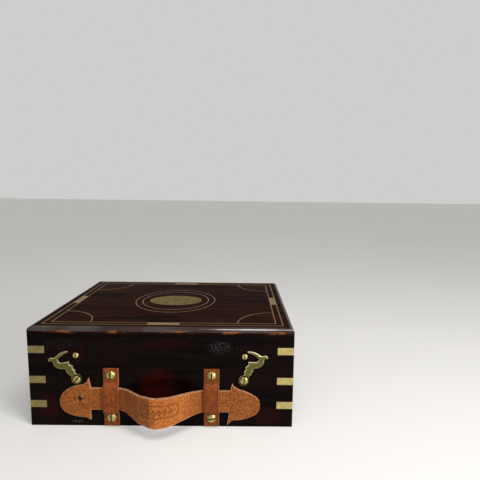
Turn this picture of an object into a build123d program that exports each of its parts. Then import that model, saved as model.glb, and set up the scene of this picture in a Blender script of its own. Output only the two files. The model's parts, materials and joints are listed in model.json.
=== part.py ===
from build123d import *
import math
import os

# Fitted sextant box: a hooked, hinged rosewood case with brass inlay and a sliding leather handle.
# Millimetres, +Z up, the box stands on Z = 0, its front faces -Y and its left end is at -X.

# --- case -------------------------------------------------------------------
BOX_W = 300.0           # outside width, along X
BOX_D = 242.0           # outside depth, along Y
BOX_H = 117.0           # height with the lid shut
SEAM_Z = 72.4           # middle of the joint between base and lid
SEAM_GAP = 0.4          # air between the two rims
WALL = 11.0             # side, front and back boards
REBATE = 5.5            # depth of the corner and bottom rebates
FLOOR_T = 6.0           # bottom panel
PANEL_T = 7.0           # lid top panel
PANEL_ROUND = 4.4       # rounded arris round the lid top
BAIZE_T = 1.0           # cloth linings
BAIZE_GAP = 0.2         # cloth kept back from the walls
# --- hinges -----------------------------------------------------------------
AXIS_INSET = 3.0        # hinge axis in from the back face
BEVEL_DEG = 51.0        # back bevel of each rim, from level
BEVEL_START = 0.2       # flat rim carried past the axis
HINGE_END = 60.0        # middle of each hinge in from the end of the box
HINGE_LEN = 50.0
KNUCKLES = 3
KNUCKLE_R = 2.5
KNUCKLE_GAP = 0.3
PIN_R = 1.1
PIN_PLAY = 0.05         # radial, in the lid knuckles
BARREL_ROOM = 0.4       # wood and opposite leaf clear of the barrel
LEAF_T = 1.5
LEAF_EDGE = 0.6         # wood left inside the leaf
KNUCKLE_WEB = 1.0       # leaf metal joining each knuckle
HINGE_SCREW_PITCH = 18.0
HINGE_SCREW_R = 1.8     # flush heads, through the leaf
# --- brass corner straps ----------------------------------------------------
STRAP_LEG = 18.6
STRAP_H = 8.5
STRAP_T = 1.2
STRAP_Z = {"base_straps_lower": 26.2, "base_straps_upper": 55.3, "lid_straps": 90.8}
# --- inlay on the lid -------------------------------------------------------
INLAY_T = 1.0
LINE_W = 1.1
OUTER_MARGIN = 11.9     # box edge to middle of the outer line
INNER_MARGIN = 19.6     # box edge to middle of the inner line
INSET_LEN = 37.2        # brass blocks bridging the two lines
CORNER_R = 44.5         # quarter rings round the inner corners
PLATE_AXES = (36.0, 25.4)
INNER_RING = (45.5, 46.9)
OUTER_RING = (54.4, 58.7)
OVAL_X = -1.2           # plate and rings sit a touch left of centre
# --- hooks and their catches ------------------------------------------------
PIVOT_END = {"left": 55.0, "right": 56.2}    # in from the ends of the box
PIVOT_Z = 57.0
CATCH_END = {"left": 55.4, "right": 55.8}
CATCH_Z = 86.0
HOOK_T = 2.2
HOOK_OFF = 0.6          # washer under the hook
HOOK_TILT = {"left": 40.4, "right": 29.9}
EYE_R = 6.2
PIVOT_R = 1.6
PIVOT_PLAY = 0.05
PIVOT_HEAD_R = 3.8
PIVOT_HEAD_H = 1.8
HEAD_PLAY = 0.1
WASHER_PLAY = 0.05
CATCH_R = 1.4
CATCH_HEAD_R = 3.1
CATCH_HEAD_H = 2.0
CATCH_STAND = 3.6       # catch head off the lid
SHANK_LEN = 8.0         # screw shanks in the wood
HEAD_RIM = 0.25         # upright part of a round head, as a share of its height
HEAD_CROWN = 0.5        # top of a round head, as a share of its radius
SLOT_END = (1.2, 28.2)  # closed end of the hook slot, from the pivot
SLOT_R = 3.0
# --- leather handle ---------------------------------------------------------
LEATHER_T = 3.0
LEATHER_W = 25.4
LEATHER_OFF = 0.35      # leather clear of the front board
STRAP_MID = {"left": 34.0, "right": 31.9}
GRIP_MID = 32.2         # height of the grip at the middle of its bow
GRIP_SPREAD = 8.2       # extra width in the middle
GRIP_X = 2.0            # middle of the bow, a touch right of centre
GRIP_BOW = 31.5         # how far the middle stands out
GRIP_BEND = 14.0        # radius of its bends, at the back of the leather
GRIP_FREE = 1.7         # keeper to the end of the bow, where the scarf starts
STRAP_TAIL = 16.5       # strap drawn on past the scarf before it is cut
SCARF_GAP = 0.3
KEEPER_END = 93.1       # middle of each keeper in from the end of the box
KEEPER_W = 17.4
KEEPER_T = 2.6
KEEPER_Z = (1.5, 70.0)
KEEPER_ROOM = 0.35      # strap clear inside the keeper
KEEPER_RISE = ((16.9, 18.9), (47.3, 52.5))
KEEPER_LAP = 0.4        # outer bend carried past the inner one
KEEPER_SCREW_Z = (11.4, 62.1)
KEEPER_SCREW_R = 5.3
KEEPER_SCREW_H = 3.2
KEEPER_SHANK_R = 2.2
# --- fittings inside --------------------------------------------------------
REST_BOX = (-66.0, 6.0, -24.0, 24.0)
REST_H = 30.0
REST_SLOT_X = -34.0
REST_SLOT_W = 24.0
REST_SLOT_DEEP = 22.0
BUTTON_AT = (-8.0, -14.0)
BUTTON_LEN = 52.0
BUTTON_R = 5.5
BUTTON_T = 3.0
BUTTON_LIFT = 0.5
BUTTON_HEAD_R = 4.0
BUTTON_HEAD_H = 2.0
FOOT_RESTS = ((-104.0, -72.0), (-104.0, 72.0), (62.0, 0.0))
FOOT_REST_R = 14.0
FOOT_REST_H = 16.0
FOOT_CUP_R = 8.0
FOOT_CUP_DEEP = 6.0
RACK_W = 40.6
RACK_GAP = 0.4          # rack clear of the right-hand wall
RACK_END = 18.0         # rack clear of the front and back walls
RACK_H = 30.0
SOCKET_R = 14.0
SOCKET_Y = 48.0
SOCKET_DEEP = 24.0
SOCKET_STEP_R = 11.0
SOCKET_STEP_Y = 0.0
LID_PAD_END = 21.0      # pads stop short of the end walls
LID_PAD_Y = 46.0
LID_PAD_W = 14.0
LID_PAD_H = 9.0
LID_PAD_CORNER = 2.5

FRONT_Y = -BOX_D / 2
BACK_Y = BOX_D / 2
HALF_W = BOX_W / 2
INNER_X = HALF_W - WALL
HINGE_X = HALF_W - HINGE_END
PIVOT_X = {"left": PIVOT_END["left"] - HALF_W, "right": HALF_W - PIVOT_END["right"]}
CATCH_X = {"left": CATCH_END["left"] - HALF_W, "right": HALF_W - CATCH_END["right"]}
KEEPER_X = HALF_W - KEEPER_END
GRIP_END = KEEPER_X - KEEPER_W / 2 - GRIP_FREE
INNER_Y = BOX_D / 2 - WALL
BASE_TOP = SEAM_Z - SEAM_GAP / 2
LID_FOOT = SEAM_Z + SEAM_GAP / 2
PANEL_Z = BOX_H - PANEL_T
AXIS_Y = BACK_Y - AXIS_INSET
LEATHER_BACK = FRONT_Y - LEATHER_OFF
LEATHER_FACE = LEATHER_BACK - LEATHER_T
CUT_PAST = 1.0          # how far cutting pieces run past what they cut

os.makedirs("parts", exist_ok=True)


def slab(x0, x1, y0, y1, z0, z1):
    """Rectangular block between the given limits."""
    middle = Pos((x0 + x1) / 2, (y0 + y1) / 2, (z0 + z1) / 2)
    return middle * Box(x1 - x0, y1 - y0, z1 - z0)


def flip_x(shape):
    """Mirror a left-hand piece to the right-hand side."""
    return mirror(shape, about=Plane.YZ)


def front_plane(x, y, z):
    """Plane facing the viewer, drawn with X right and Z up."""
    return Plane(origin=(x, y, z), x_dir=(1, 0, 0), z_dir=(0, -1, 0))


def rod_x(x0, x1, radius, y, z):
    """Round bar along X."""
    bar = Cylinder(radius, x1 - x0, rotation=(0, 90, 0))
    return Pos((x0 + x1) / 2, y, z) * bar


def runs_face(runs):
    """Closed face from runs of points: two points make a line, three make an arc."""
    edges = []
    for run in runs:
        points = [(u, v, 0) for u, v in run]
        if len(points) == 2:
            edges.append(Edge.make_line(*points))
        else:
            edges.append(Edge.make_three_point_arc(*points))
    return Face(Wire(edges))


def round_screw(head_r, head_h, shank_r, shank_len):
    """Round-head screw standing on Z = 0."""
    rim = head_h * HEAD_RIM
    crown = head_h - rim
    head = Pos(0, 0, rim / 2) * Cylinder(head_r, rim)
    head = head + Pos(0, 0, rim + crown / 2) * Cone(head_r, head_r * HEAD_CROWN, crown)
    shank = Pos(0, 0, -shank_len / 2) * Cylinder(shank_r, shank_len)
    return head + shank


# --- case boards -------------------------------------------------------------
def wall_boards(z0, z1):
    """Four rebated boards of one half of the case, between two heights."""
    boards = {}
    for name, side in (("front", -1), ("back", 1)):
        face = side * BOX_D / 2
        inner = side * INNER_Y
        board = slab(-HALF_W, HALF_W, min(face, inner), max(face, inner), z0, z1)
        ledge = side * (BOX_D / 2 - REBATE)
        for end in (-1, 1):
            outer = end * HALF_W
            meet = end * INNER_X
            low_x, high_x = sorted((outer, meet))
            low_y, high_y = sorted((ledge, inner))
            board = board - slab(low_x, high_x, low_y, high_y, z0, z1)
        boards[name] = board
    reach = BOX_D / 2 - REBATE
    boards["left"] = slab(-HALF_W, -INNER_X, -reach, reach, z0, z1)
    boards["right"] = slab(INNER_X, HALF_W, -reach, reach, z0, z1)
    return boards


def corner_straps(z):
    """Four L-shaped brass straps let in flush round the corners at height z."""
    straps = []
    for sx in (-1, 1):
        for sy in (-1, 1):
            on_face = Pos(sx * (HALF_W - STRAP_LEG / 2), sy * (BOX_D - STRAP_T) / 2, z)
            on_end = Pos(sx * (BOX_W - STRAP_T) / 2, sy * (BOX_D / 2 - STRAP_LEG / 2), z)
            leg = on_face * Box(STRAP_LEG, STRAP_T, STRAP_H)
            turn = on_end * Box(STRAP_T, STRAP_LEG, STRAP_H)
            straps.append(leg + turn)
    return straps


def back_bevel(up):
    """Wedge taken off the outer back rim so the open lid stops; up is 1 for the lid."""
    start = AXIS_Y - BEVEL_START
    run = BACK_Y - start + CUT_PAST
    drop = run * math.tan(math.radians(BEVEL_DEG))
    rim = SEAM_Z + up * SEAM_GAP / 2
    edge = Polyline((start, rim), (start + run, rim), (start + run, rim + up * drop), close=True)
    plane = Plane(origin=(-HALF_W - CUT_PAST, 0, 0), x_dir=(0, 1, 0), z_dir=(1, 0, 0))
    return extrude(plane * make_face(edge), amount=BOX_W + 2 * CUT_PAST, dir=(1, 0, 0))


# --- hinges ------------------------------------------------------------------
def hinge_leaf(x, up):
    """One leaf with its knuckles; up is 1 for the lid leaf, -1 for the base leaf."""
    x0 = x - HINGE_LEN / 2
    x1 = x + HINGE_LEN / 2
    za = SEAM_Z + up * SEAM_GAP / 2
    zb = za + up * LEAF_T
    low = min(za, zb)
    high = max(za, zb)
    leaf = slab(x0, x1, INNER_Y + LEAF_EDGE, AXIS_Y, low, high)
    leaf = leaf - rod_x(x0, x1, KNUCKLE_R + BARREL_ROOM, AXIS_Y, SEAM_Z)
    first = 0 if up < 0 else 1
    pitch = HINGE_LEN / KNUCKLES
    for k in range(first, KNUCKLES, 2):
        k0 = x0 + k * pitch + (KNUCKLE_GAP / 2 if k > 0 else 0.0)
        k1 = x0 + (k + 1) * pitch - (KNUCKLE_GAP / 2 if k < KNUCKLES - 1 else 0.0)
        web = slab(k0, k1, AXIS_Y - KNUCKLE_R - KNUCKLE_WEB, AXIS_Y, low, high)
        leaf = leaf + web + rod_x(k0, k1, KNUCKLE_R, AXIS_Y, SEAM_Z)
    bore = PIN_R + (PIN_PLAY if up > 0 else 0.0)
    return leaf - rod_x(x0, x1, bore, AXIS_Y, SEAM_Z)


def hinge_seat(x, up):
    """Wood removed for one leaf and the barrel."""
    x0 = x - HINGE_LEN / 2
    x1 = x + HINGE_LEN / 2
    za = SEAM_Z
    zb = SEAM_Z + up * (SEAM_GAP / 2 + LEAF_T)
    seat = slab(x0, x1, INNER_Y + LEAF_EDGE, AXIS_Y, min(za, zb), max(za, zb))
    room = rod_x(x0 - BARREL_ROOM, x1 + BARREL_ROOM, KNUCKLE_R + BARREL_ROOM, AXIS_Y, SEAM_Z)
    return seat + room


def hinge_screws(x, up):
    """Three flush screw heads of one leaf, level with the rim and bedded on the wood under it."""
    rim = SEAM_Z + up * SEAM_GAP / 2
    y = (INNER_Y + LEAF_EDGE + AXIS_Y - KNUCKLE_R - BARREL_ROOM) / 2
    z = rim + up * LEAF_T / 2
    screws = []
    for step in (-1, 0, 1):
        screws.append(Pos(x + step * HINGE_SCREW_PITCH, y, z) * Cylinder(HINGE_SCREW_R, LEAF_T))
    return screws


# --- screws on the front -----------------------------------------------------
def on_front(x, y, z, shape):
    """Stand a piece made along +Z on the front face, facing the viewer."""
    return front_plane(x, y, z).location * shape


def keeper_screws(side):
    """Two round-head screws of one keeper."""
    screws = []
    for z in KEEPER_SCREW_Z:
        screw = round_screw(KEEPER_SCREW_R, KEEPER_SCREW_H, KEEPER_SHANK_R, KEEPER_T + SHANK_LEN)
        screws.append(on_front(side * KEEPER_X, FRONT_Y - KEEPER_T, z, screw))
    return screws


def pivot_screw(side):
    """Hook pivot: washer, shoulder, head and shank in one brass piece."""
    stand = HOOK_OFF + HOOK_T + HEAD_PLAY
    tag = "left" if side < 0 else "right"
    screw = round_screw(PIVOT_HEAD_R, PIVOT_HEAD_H, PIVOT_R, stand + SHANK_LEN)
    thick = HOOK_OFF - WASHER_PLAY
    washer = Pos(0, 0, -stand + thick / 2) * Cylinder(PIVOT_HEAD_R, thick)
    return on_front(PIVOT_X[tag], FRONT_Y - stand, PIVOT_Z, screw + washer)


def catch_screw(side):
    """Round-head screw in the lid that the hook goes round."""
    screw = round_screw(CATCH_HEAD_R, CATCH_HEAD_H, CATCH_R, CATCH_STAND + SHANK_LEN)
    tag = "left" if side < 0 else "right"
    return on_front(CATCH_X[tag], FRONT_Y - CATCH_STAND, CATCH_Z, screw)


# --- hooks -------------------------------------------------------------------
def hook_shape():
    """Flat cast hook, pivot at the origin, slot straight above it and open towards +X."""
    sx, sz = SLOT_END
    runs = [
        [(0, 0), (3.9, 0)],
        [(3.9, 0), (3.9, 7.2)],
        [(3.9, 7.2), (5.7, 9.4), (4.9, 12.0)],
        [(4.9, 12.0), (6.9, 14.3), (5.8, 17.2)],
        [(5.8, 17.2), (6.2, 19.6), (8.0, 21.6)],
        [(8.0, 21.6), (4.8, 23.0), (sx, sz - SLOT_R)],
        [(sx, sz - SLOT_R), (sx - SLOT_R, sz), (sx, sz + SLOT_R)],
        [(sx, sz + SLOT_R), (7.4, 31.3), (13.0, 30.1)],
        [(13.0, 30.1), (14.2, 30.8), (13.6, 32.1)],
        [(13.6, 32.1), (6.4, 34.8), (-1.6, 34.7)],
        [(-1.6, 34.7), (-3.2, 35.5), (-5.0, 37.1)],
        [(-5.0, 37.1), (-8.2, 37.8), (-10.2, 36.3)],
        [(-10.2, 36.3), (-9.8, 35.1), (-8.4, 34.7)],
        [(-8.4, 34.7), (-7.2, 33.6), (-7.6, 31.8)],
        [(-7.6, 31.8), (-8.9, 27.2), (-7.7, 22.4)],
        [(-7.7, 22.4), (-5.5, 19.7), (-2.9, 17.7)],
        [(-2.9, 17.7), (-2.9, 15.4), (-4.5, 13.6)],
        [(-4.5, 13.6), (-3.2, 11.8), (-4.0, 9.8)],
        [(-4.0, 9.8), (-3.0, 8.2), (-2.9, 6.0)],
        [(-2.9, 6.0), (-2.9, 0)],
        [(-2.9, 0), (0, 0)],
    ]
    blade = extrude(runs_face(runs), amount=HOOK_T, dir=(0, 0, 1))
    eye = Pos(0, 0, HOOK_T / 2) * Cylinder(EYE_R, HOOK_T)
    bore = Pos(0, 0, HOOK_T / 2) * Cylinder(PIVOT_R + PIVOT_PLAY, 2 * HOOK_T)
    return blade + eye - bore


def hook_piece(side):
    """Hook hung on its pivot at the rest tilt; side is -1 for the left one."""
    tag = "left" if side < 0 else "right"
    shape = Rot(0, 0, HOOK_TILT[tag]) * hook_shape()
    if side > 0:
        shape = flip_x(shape)
    return on_front(PIVOT_X[tag], FRONT_Y - HOOK_OFF, PIVOT_Z, shape)


# --- leather -----------------------------------------------------------------
# Arrow-shaped ends: distance in from the end of the box, and height.
LEFT_NOSE = [
    [(69.5, 9.2), (67.1, 10.4), (64.0, 12.2)],
    [(64.0, 12.2), (53.0, 13.3), (42.4, 17.0)],
    [(42.4, 17.0), (35.2, 29.2), (41.2, 43.2)],
    [(41.2, 43.2), (48.4, 47.6), (57.0, 50.0)],
    [(57.0, 50.0), (65.0, 53.4), (67.8, 58.4)],
]
RIGHT_NOSE = [
    [(75.1, 3.4), (72.5, 6.6), (69.0, 9.6)],
    [(69.0, 9.6), (54.6, 11.3), (42.8, 16.5)],
    [(42.8, 16.5), (37.8, 28.8), (44.4, 38.2)],
    [(44.4, 38.2), (51.0, 42.0), (59.0, 45.0)],
    [(59.0, 45.0), (65.6, 48.0), (69.8, 52.8)],
]
NOSE_NECK = {"left": (69.2, 70.1), "right": (72.8, 71.6)}


def strap_outline(name):
    """Arrow-shaped strap end with its plain neck, as one face drawn in X and Z."""
    side = -1 if name == "left" else 1
    drawn = LEFT_NOSE if name == "left" else RIGHT_NOSE
    nose = [[(side * (HALF_W - inset), z) for inset, z in run] for run in drawn]
    low = STRAP_MID[name] - LEATHER_W / 2
    high = STRAP_MID[name] + LEATHER_W / 2
    foot, crown = (side * (HALF_W - inset) for inset in NOSE_NECK[name])
    inner = side * (GRIP_END - STRAP_TAIL)
    start = nose[0][0]
    end = nose[-1][-1]
    runs = nose + [
        [end, (crown, high)],
        [(crown, high), (inner, high)],
        [(inner, high), (inner, low)],
        [(inner, low), (foot, low)],
        [(foot, low), start],
    ]
    return runs_face(runs)


def scarf_side(offset, keep_end):
    """Half space of the 45 degree scarf on the left: the strap end, or everything past it."""
    size = 2 * BOX_W
    turned = Rot(0, 0, 45) * Box(size, size, size)
    base = Pos(-GRIP_END, LEATHER_FACE, 0)
    sign = -1 if keep_end else 1
    reach = sign * (size / 2) + offset
    return base * Pos(reach * math.sin(math.radians(45)), -reach * math.cos(math.radians(45)), 0) * turned


def strap_end(name):
    """Sliding end of the strap, cut on the scarf that meets the grip."""
    face = front_plane(0, LEATHER_BACK, 0) * strap_outline(name)
    plate = extrude(face, amount=LEATHER_T, dir=(0, -1, 0))
    side = scarf_side(-SCARF_GAP, True)
    if name == "right":
        side = flip_x(side)
    return plate & side


def grip_path(offset):
    """Plan line of the bow, moved out square to itself by offset: flats, two bends and slopes."""
    # slope of the straight parts, from half the bow's length, its stand-out and its bends
    past = GRIP_BOW - 2 * GRIP_BEND
    straight = math.sqrt(GRIP_END ** 2 + past ** 2 - (2 * GRIP_BEND) ** 2)
    slope = math.atan2(past, GRIP_END) + math.atan2(2 * GRIP_BEND, straight)
    inner = GRIP_BEND - offset
    outer = GRIP_BEND + offset
    low = LEATHER_BACK - offset
    x_a = -GRIP_END
    y_c = LEATHER_BACK - GRIP_BEND
    half = slope / 2
    foot = (x_a, low)
    foot_mid = (x_a + inner * math.sin(half), y_c + inner * math.cos(half))
    foot_end = (x_a + inner * math.sin(slope), y_c + inner * math.cos(slope))
    top_c = LEATHER_BACK - GRIP_BOW + GRIP_BEND
    rise_end = (-outer * math.sin(slope), top_c - outer * math.cos(slope))
    crown = (0.0, top_c - outer)
    end = GRIP_END + 2 * LEATHER_T
    run_in = Edge.make_line((-end, low), foot)
    bend_in = Edge.make_three_point_arc(foot, foot_mid, foot_end)
    climb = Edge.make_line(foot_end, rise_end)
    over = Edge.make_three_point_arc(rise_end, crown, (-rise_end[0], rise_end[1]))
    fall = Edge.make_line((-rise_end[0], rise_end[1]), (-foot_end[0], foot_end[1]))
    out_start = (-foot_end[0], foot_end[1])
    out_mid = (-foot_mid[0], foot_mid[1])
    bend_out = Edge.make_three_point_arc(out_start, out_mid, (-foot[0], low))
    run_out = Edge.make_line((-foot[0], low), (end, low))
    return [run_in, bend_in, climb, over, fall, bend_out, run_out]


def grip_piece():
    """Bowed hand grip: a leather ribbon in plan, cut to the widening outline of its front view."""
    end = GRIP_END + 2 * LEATHER_T
    left = Edge.make_line((-end, LEATHER_FACE), (-end, LEATHER_BACK))
    right = Edge.make_line((end, LEATHER_BACK), (end, LEATHER_FACE))
    edges = grip_path(0.0) + [right] + grip_path(LEATHER_T) + [left]
    ribbon = Pos(GRIP_X, 0, 0) * extrude(Face(Wire(edges)), amount=BASE_TOP, dir=(0, 0, 1))
    half = LEATHER_W / 2
    wide = half + GRIP_SPREAD / 2
    ends = (STRAP_MID["left"], STRAP_MID["right"])
    top = ThreePointArc((-end, ends[0] + half), (0, GRIP_MID + wide), (end, ends[1] + half))
    low = ThreePointArc((-end, ends[0] - half), (0, GRIP_MID - wide), (end, ends[1] - half))
    sides = Line(top @ 0, low @ 0) + Line(top @ 1, low @ 1)
    front = front_plane(0, FRONT_Y, 0) * make_face(top + low + sides)
    reach = LEATHER_OFF + GRIP_BOW + LEATHER_T + CUT_PAST
    outline = extrude(front, amount=reach, dir=(0, -1, 0))
    left_side = scarf_side(0.0, False)
    return ribbon & outline & left_side & flip_x(left_side)


def keeper_piece(side):
    """Leather keeper screwed above and below the strap, with room for it to slide."""
    rise = LEATHER_OFF + LEATHER_T + KEEPER_ROOM
    (a0, a1), (b0, b1) = KEEPER_RISE
    z0, z1 = KEEPER_Z
    y_back = FRONT_Y
    y_out = FRONT_Y - rise
    f_back = FRONT_Y - KEEPER_T
    f_out = FRONT_Y - KEEPER_T - rise
    inside = [(y_back, z0), (y_back, a0), (y_out, a1), (y_out, b0), (y_back, b1), (y_back, z1)]
    outside = [(f_back, z1), (f_back, b1 + KEEPER_LAP), (f_out, b0 + KEEPER_LAP),
               (f_out, a1 - KEEPER_LAP), (f_back, a0 - KEEPER_LAP), (f_back, z0)]
    profile = make_face(Polyline(*inside, *outside, close=True))
    plane = Plane(origin=(side * KEEPER_X - KEEPER_W / 2, 0, 0), x_dir=(0, 1, 0), z_dir=(1, 0, 0))
    return extrude(plane * profile, amount=KEEPER_W, dir=(1, 0, 0))


# --- inlay -------------------------------------------------------------------
def frame_line(margin):
    """Rectangular brass line let into the lid, margin from the box edge to its middle."""
    plane = Plane.XY.offset(BOX_H - INLAY_T)
    wide = Rectangle(BOX_W - 2 * margin + LINE_W, BOX_D - 2 * margin + LINE_W)
    narrow = Rectangle(BOX_W - 2 * margin - LINE_W, BOX_D - 2 * margin - LINE_W)
    return extrude(plane * (wide - narrow), amount=INLAY_T)


def inset_blocks():
    """Four brass blocks bridging the two lines at the middle of each side."""
    across = INNER_MARGIN - OUTER_MARGIN + LINE_W
    middle = (INNER_MARGIN + OUTER_MARGIN) / 2
    z = BOX_H - INLAY_T / 2
    blocks = []
    for side in (-1, 1):
        blocks.append(Pos(0, side * (BOX_D / 2 - middle), z) * Box(INSET_LEN, across, INLAY_T))
        blocks.append(Pos(side * (HALF_W - middle), 0, z) * Box(across, INSET_LEN, INLAY_T))
    return blocks


def corner_arcs():
    """Quarter rings round the corners of the inner line."""
    reach_x = HALF_W - INNER_MARGIN
    reach_y = BOX_D / 2 - INNER_MARGIN
    window = slab(-reach_x + LINE_W / 2, reach_x - LINE_W / 2, -reach_y + LINE_W / 2,
                  reach_y - LINE_W / 2, BOX_H - INLAY_T, BOX_H)
    z = BOX_H - INLAY_T / 2
    arcs = []
    for sx in (-1, 1):
        for sy in (-1, 1):
            ring = Cylinder(CORNER_R + LINE_W / 2, INLAY_T) - Cylinder(CORNER_R - LINE_W / 2, INLAY_T)
            arcs.append((Pos(sx * reach_x, sy * reach_y, z) * ring) & window)
    return arcs


def oval_disc(axes, margin=0.0):
    """Flush oval of the given half axes, drawn with four arcs that run smoothly into one another."""
    rx = axes[0] + margin
    ry = axes[1] + margin
    reach = math.hypot(rx, ry)
    # where the end arcs meet the side arcs
    x = (reach + rx - ry) / 2
    y = (reach - rx + ry) / 2
    face = runs_face([
        [(-x, -y), (0, -ry), (x, -y)],
        [(x, -y), (rx, 0), (x, y)],
        [(x, y), (0, ry), (-x, y)],
        [(-x, y), (-rx, 0), (-x, -y)],
    ])
    return extrude(Pos(OVAL_X, 0, BOX_H - INLAY_T) * face, amount=INLAY_T, dir=(0, 0, 1))


def oval_ring(axes):
    """Brass ring of line width round the plate."""
    return oval_disc(axes, LINE_W / 2) - oval_disc(axes, -LINE_W / 2)


# --- build -------------------------------------------------------------------
nodes = {}

for strap_name, strap_z in STRAP_Z.items():
    nodes[strap_name] = corner_straps(strap_z)

for tag, x in (("left", -HINGE_X), ("right", HINGE_X)):
    nodes["hinge_leaf_base_" + tag] = [hinge_leaf(x, -1)]
    nodes["hinge_leaf_lid_" + tag] = [hinge_leaf(x, 1)]
    half = HINGE_LEN / 2
    nodes["hinge_pin_" + tag] = [rod_x(x - half, x + half, PIN_R, AXIS_Y, SEAM_Z)]

nodes["hinge_screws_base"] = hinge_screws(-HINGE_X, -1) + hinge_screws(HINGE_X, -1)
nodes["hinge_screws_lid"] = hinge_screws(-HINGE_X, 1) + hinge_screws(HINGE_X, 1)
for tag in ("left", "right"):
    for half_name in ("base", "lid"):
        leaf_name = "hinge_leaf_" + half_name + "_" + tag
        leaf_cut = nodes[leaf_name][0]
        for screw in nodes["hinge_screws_" + half_name]:
            leaf_cut = leaf_cut - screw
        nodes[leaf_name] = [leaf_cut]

nodes["keeper_screws_left"] = keeper_screws(-1)
nodes["keeper_screws_right"] = keeper_screws(1)
nodes["hook_pivot_screws"] = [pivot_screw(-1), pivot_screw(1)]
nodes["catch_screws"] = [catch_screw(-1), catch_screw(1)]

base = wall_boards(0.0, BASE_TOP)
floor_reach_x = HALF_W - REBATE
floor_reach_y = BOX_D / 2 - REBATE
floor_panel = slab(-floor_reach_x, floor_reach_x, -floor_reach_y, floor_reach_y, 0.0, FLOOR_T)
base_cuts = nodes["base_straps_lower"] + nodes["base_straps_upper"] + nodes["keeper_screws_left"]
base_cuts = base_cuts + nodes["keeper_screws_right"] + nodes["hook_pivot_screws"]
base_cuts = base_cuts + [floor_panel, back_bevel(-1)]
base_cuts = base_cuts + [hinge_seat(-HINGE_X, -1), hinge_seat(HINGE_X, -1)]
for tag, board in base.items():
    for cut in base_cuts:
        board = board - cut
    nodes["base_" + tag] = [board]
nodes["base_bottom"] = [floor_panel]

lid = wall_boards(LID_FOOT, PANEL_Z)
lid_cuts = nodes["lid_straps"] + nodes["catch_screws"]
lid_cuts = lid_cuts + [back_bevel(1), hinge_seat(-HINGE_X, 1), hinge_seat(HINGE_X, 1)]
for tag, board in lid.items():
    for cut in lid_cuts:
        board = board - cut
    nodes["lid_" + tag] = [board]

insets = inset_blocks()
outer_line = frame_line(OUTER_MARGIN)
inner_line = frame_line(INNER_MARGIN)
for block in insets:
    outer_line = outer_line - block
    inner_line = inner_line - block
nodes["border_insets"] = insets
nodes["border_line_outer"] = [outer_line]
nodes["border_line_inner"] = [inner_line]
nodes["corner_arcs"] = corner_arcs()
nodes["oval_ring_outer"] = [oval_ring(OUTER_RING)]
nodes["oval_ring_inner"] = [oval_ring(INNER_RING)]
nodes["oval_plate"] = [oval_disc(PLATE_AXES)]

panel = slab(-HALF_W, HALF_W, FRONT_Y, BACK_Y, PANEL_Z, BOX_H)
panel = fillet(panel.faces().sort_by(Axis.Z)[-1].edges(), PANEL_ROUND)
for inlay_name in ("border_insets", "border_line_outer", "border_line_inner", "corner_arcs",
                   "oval_ring_outer", "oval_ring_inner", "oval_plate"):
    for piece in nodes[inlay_name]:
        panel = panel - piece
nodes["lid_panel"] = [panel]

edge_x = INNER_X - BAIZE_GAP
edge_y = INNER_Y - BAIZE_GAP
floor_z = FLOOR_T + BAIZE_T
nodes["base_baize"] = [slab(-edge_x, edge_x, -edge_y, edge_y, FLOOR_T, floor_z)]
nodes["lid_baize"] = [slab(-edge_x, edge_x, -edge_y, edge_y, PANEL_Z - BAIZE_T, PANEL_Z)]

pads = []
pad_reach = INNER_X - LID_PAD_END
for side in (-1, 1):
    pad_top = PANEL_Z - BAIZE_T
    pad = slab(-pad_reach, pad_reach, side * LID_PAD_Y - LID_PAD_W / 2,
               side * LID_PAD_Y + LID_PAD_W / 2, pad_top - LID_PAD_H, pad_top)
    low_face = pad.faces().sort_by(Axis.Z)[0]
    pads.append(fillet(low_face.edges().filter_by(Axis.X), LID_PAD_CORNER))
nodes["lid_pads"] = pads

rx0, rx1, ry0, ry1 = REST_BOX
rest_top = floor_z + REST_H
rest = slab(rx0, rx1, ry0, ry1, floor_z, rest_top)
slot_floor = rest_top - REST_SLOT_DEEP + REST_SLOT_W / 2
slot_half = REST_SLOT_W / 2
slot_x0 = REST_SLOT_X - slot_half
slot_x1 = REST_SLOT_X + slot_half
rest = rest - slab(slot_x0, slot_x1, ry0, ry1, slot_floor, rest_top)
slot_round = Cylinder(slot_half, ry1 - ry0, rotation=(90, 0, 0))
rest = rest - Pos(REST_SLOT_X, (ry0 + ry1) / 2, slot_floor) * slot_round
button_z = rest_top + BUTTON_LIFT
button_shank = BUTTON_T + HEAD_PLAY + BUTTON_LIFT + SHANK_LEN
button_screw = round_screw(BUTTON_HEAD_R, BUTTON_HEAD_H, PIVOT_R, button_shank)
button_screw = Pos(0, 0, BUTTON_T + HEAD_PLAY) * button_screw
washer_t = BUTTON_LIFT - WASHER_PLAY
button_washer = Pos(0, 0, washer_t / 2 - BUTTON_LIFT) * Cylinder(BUTTON_HEAD_R, washer_t)
button_screw = Pos(BUTTON_AT[0], BUTTON_AT[1], button_z) * (button_screw + button_washer)
nodes["turn_button_screw"] = [button_screw]
nodes["handle_rest"] = [rest - button_screw]
button_run = BUTTON_LEN - 2 * BUTTON_R
button = Pos(0, button_run / 2, BUTTON_T / 2) * Box(2 * BUTTON_R, button_run, BUTTON_T)
button = button + Pos(0, 0, BUTTON_T / 2) * Cylinder(BUTTON_R, BUTTON_T)
button = button + Pos(0, button_run, BUTTON_T / 2) * Cylinder(BUTTON_R, BUTTON_T)
button = button - Pos(0, 0, BUTTON_T / 2) * Cylinder(PIVOT_R + PIVOT_PLAY, 2 * BUTTON_T)
nodes["turn_button"] = [Pos(BUTTON_AT[0], BUTTON_AT[1], button_z) * button]

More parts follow.
